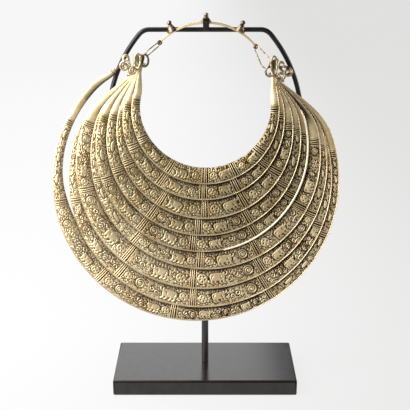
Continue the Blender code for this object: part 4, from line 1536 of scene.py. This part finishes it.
def coilPoints(side):
    # One wire: a spiral, a round eyelet above it and a second spiral that touches both
    lobe = Vector((side["lobeShown"], wires["lobeUp"]))
    eyelet = Vector((side["eyeletShown"], side["eyeletUp"]))
    size, small = wires["coilRadius"], wires["lobeRadius"]
    first = spiral(Vector((0, 0)), wires["coilStart"], size, wires["coilTurns"], radians(50), 1, 60)
    last = spiral(lobe, wires["coilStart"], small, wires["lobeTurns"], radians(72), 1, 54)[::-1]
    loop = []
    for i in range(61):
        angle = radians(185 - 565 * i / 60)
        loop.append(eyelet + Vector((cos(angle), sin(angle))) * wires["eyeletRadius"])
    up, down = Vector((-0.6, 0.8)) * 0.005, Vector((-0.3, -0.95)) * 0.003
    rising = [hermite(first[-1], up, loop[0], Vector((0, 0.006)), i / 12) for i in range(1, 12)]
    falling = [hermite(loop[-1], down, last[0], Vector((0.004, -0.001)), i / 8) for i in range(1, 8)]
    run = first + rising + loop + falling + last
    depth = hairpinDepth() + 2 * wires["coilWire"] + gap
    points = []
    for i, p in enumerate(run):  # the second spiral lies a little in front of the first
        x = side["coilX"] + side["coilShift"] + side["sign"] * p.x
        t = side["coilT"] + wires["coilRise"] + p.y
        points.append(onBib(x, t, depth + 0.0011 * smooth(0.3, 0.8, i / len(run))))
    return points


def hairpinPoints(side):
    bottom = side["coilT"] + wires["hairpinFoot"]
    marks = []
    for across, up in hairpinRoute:
        x = side["hairpinX"] + side["sign"] * across * wires["hairpinWidth"]
        marks.append(Vector((x, bottom + up * side["hairpinHeight"])))
    points = []
    for i in range(len(marks) - 1):
        before, after = marks[max(i - 1, 0)], marks[min(i + 2, len(marks) - 1)]
        startPull, endPull = (marks[i + 1] - before) / 2, (after - marks[i]) / 2
        for j in range(10):
            points.append(hermite(marks[i], startPull, marks[i + 1], endPull, j / 10))
    points.append(marks[-1])
    return [onBib(p.x, p.y, hairpinDepth()) for p in points]


def buildWires():
    routes = {
        "pin": pinPoints, "link": linkPoints, "binding": bindingPoints, "coil": coilPoints,
        "hairpin": hairpinPoints,
    }
    for where, side in sides.items():
        for kind, route in routes.items():
            radius, closed = wires["finished"][kind]
            name = f"{kind}_wire_{where}"
            # The coils and hairpins on the left, lit by the key lamp, take the paler copy as painted light
            paler = kind in ("coil", "hairpin") and side["sign"] < 0
            metal = litCoilSilver if paler else wireSilver
            made = wire(name, [route(side)], radius, metal, closed=closed, sides=14)
            dress(made, "silver_wire", f"{kind}_{where}")


# Floor, lights and camera

studio = {
    "floorHalf": 14.0,
    "floorDrop": 0.0002,
    "world": 0.34,
    "lampTarget": (0.0, 0.0, 0.22),
    "lens": 87.8,
    "cameraPlace": (0.0, -0.963, 0.462),
    "cameraTilt": radians(74),
    # name: place, power, width, height
    "lights": {
        "key": ((-0.72, -0.38, 0.50), 23.0, 1.0, 1.0),
        "top": ((-0.50, 0.05, 1.30), 15.0, 1.0, 1.0),
        "back": ((-0.78, 1.7, 0.95), 10.5, 2.2, 1.0),
        "side": ((0.85, 0.06, 0.35), 5.0, 0.3, 0.9),
    },
}


def floorPaper():
    # Matt paper that glows with painted light: lighter on the left, where the lamps are, than on the right,
    # and a little brighter further back
    material, tree, shader = newMaterial("paleFloorPaper")
    place = addNode(tree, "ShaderNodeTexCoord").outputs["Object"]
    split = addNode(tree, "ShaderNodeSeparateXYZ", links={"Vector": place})
    share = addNode(
        tree,
        "ShaderNodeMapRange",
        {"interpolation_type": "SMOOTHSTEP"},
        {"Value": split.outputs["X"]},
        {"From Min": -0.25, "From Max": 0.45},
    ).outputs["Result"]
    shade = addNode(
        tree,
        "ShaderNodeMix",
        {"data_type": "RGBA"},
        {"Factor": share},
        {"A": linear("#F6F6F6"), "B": linear("#DFDFDE")},
    ).outputs["Result"]
    shader.inputs["Base Color"].default_value = linear("#343434")
    shader.inputs["Roughness"].default_value = 0.9
    shader.inputs["Specular IOR Level"].default_value = 0.1
    tree.links.new(shade, shader.inputs["Emission Color"])
    front = addNode(
        tree,
        "ShaderNodeMapRange",
        {"interpolation_type": "SMOOTHSTEP"},
        {"Value": split.outputs["Y"]},
        {"From Min": -0.35, "From Max": 0.15, "To Min": 0.93, "To Max": 0.985},
    ).outputs["Result"]
    tree.links.new(front, shader.inputs["Emission Strength"])
    return material


def buildStudio():
    half, low = studio["floorHalf"], -studio["floorDrop"]
    mesh = bpy.data.meshes.new("floor")
    corners = [(-half, -half, low), (half, -half, low), (half, half, low), (-half, half, low)]
    mesh.from_pydata(corners, [], [(0, 1, 2, 3)])
    placed("floor", mesh, floorPaper())

    world = bpy.data.worlds.new("studio")
    bpy.context.scene.world = world
    world.use_nodes = True
    sky = world.node_tree.nodes["Background"]
    sky.inputs["Color"].default_value = (0.94, 0.96, 1.0, 1.0)
    sky.inputs["Strength"].default_value = studio["world"]

    target = Vector(studio["lampTarget"])
    for name, (place, power, wide, high) in studio["lights"].items():
        data = bpy.data.lights.new(name, "AREA")
        data.shape = "RECTANGLE"
        data.energy = power
        data.size, data.size_y = wide, high
        lamp = bpy.data.objects.new(name, data)
        bpy.context.scene.collection.objects.link(lamp)
        lamp.location = place
        lamp.rotation_euler = (target - Vector(place)).to_track_quat("-Z", "Y").to_euler()

    data = bpy.data.cameras.new("camera")
    data.lens = studio["lens"]
    data.sensor_width = 36
    camera = bpy.data.objects.new("camera", data)
    bpy.context.scene.collection.objects.link(camera)
    camera.location = studio["cameraPlace"]
    camera.rotation_euler = (studio["cameraTilt"], 0, 0)
    bpy.context.scene.camera = camera
    bpy.context.scene.view_settings.view_transform = "Standard"


buildStudio()
buildStand()
print("stand built")
buildNeckStrip()
print("neck strip built")
for ringIndex in range(len(rings)):
    buildRing(ringIndex)
buildWires()
print("wires built")
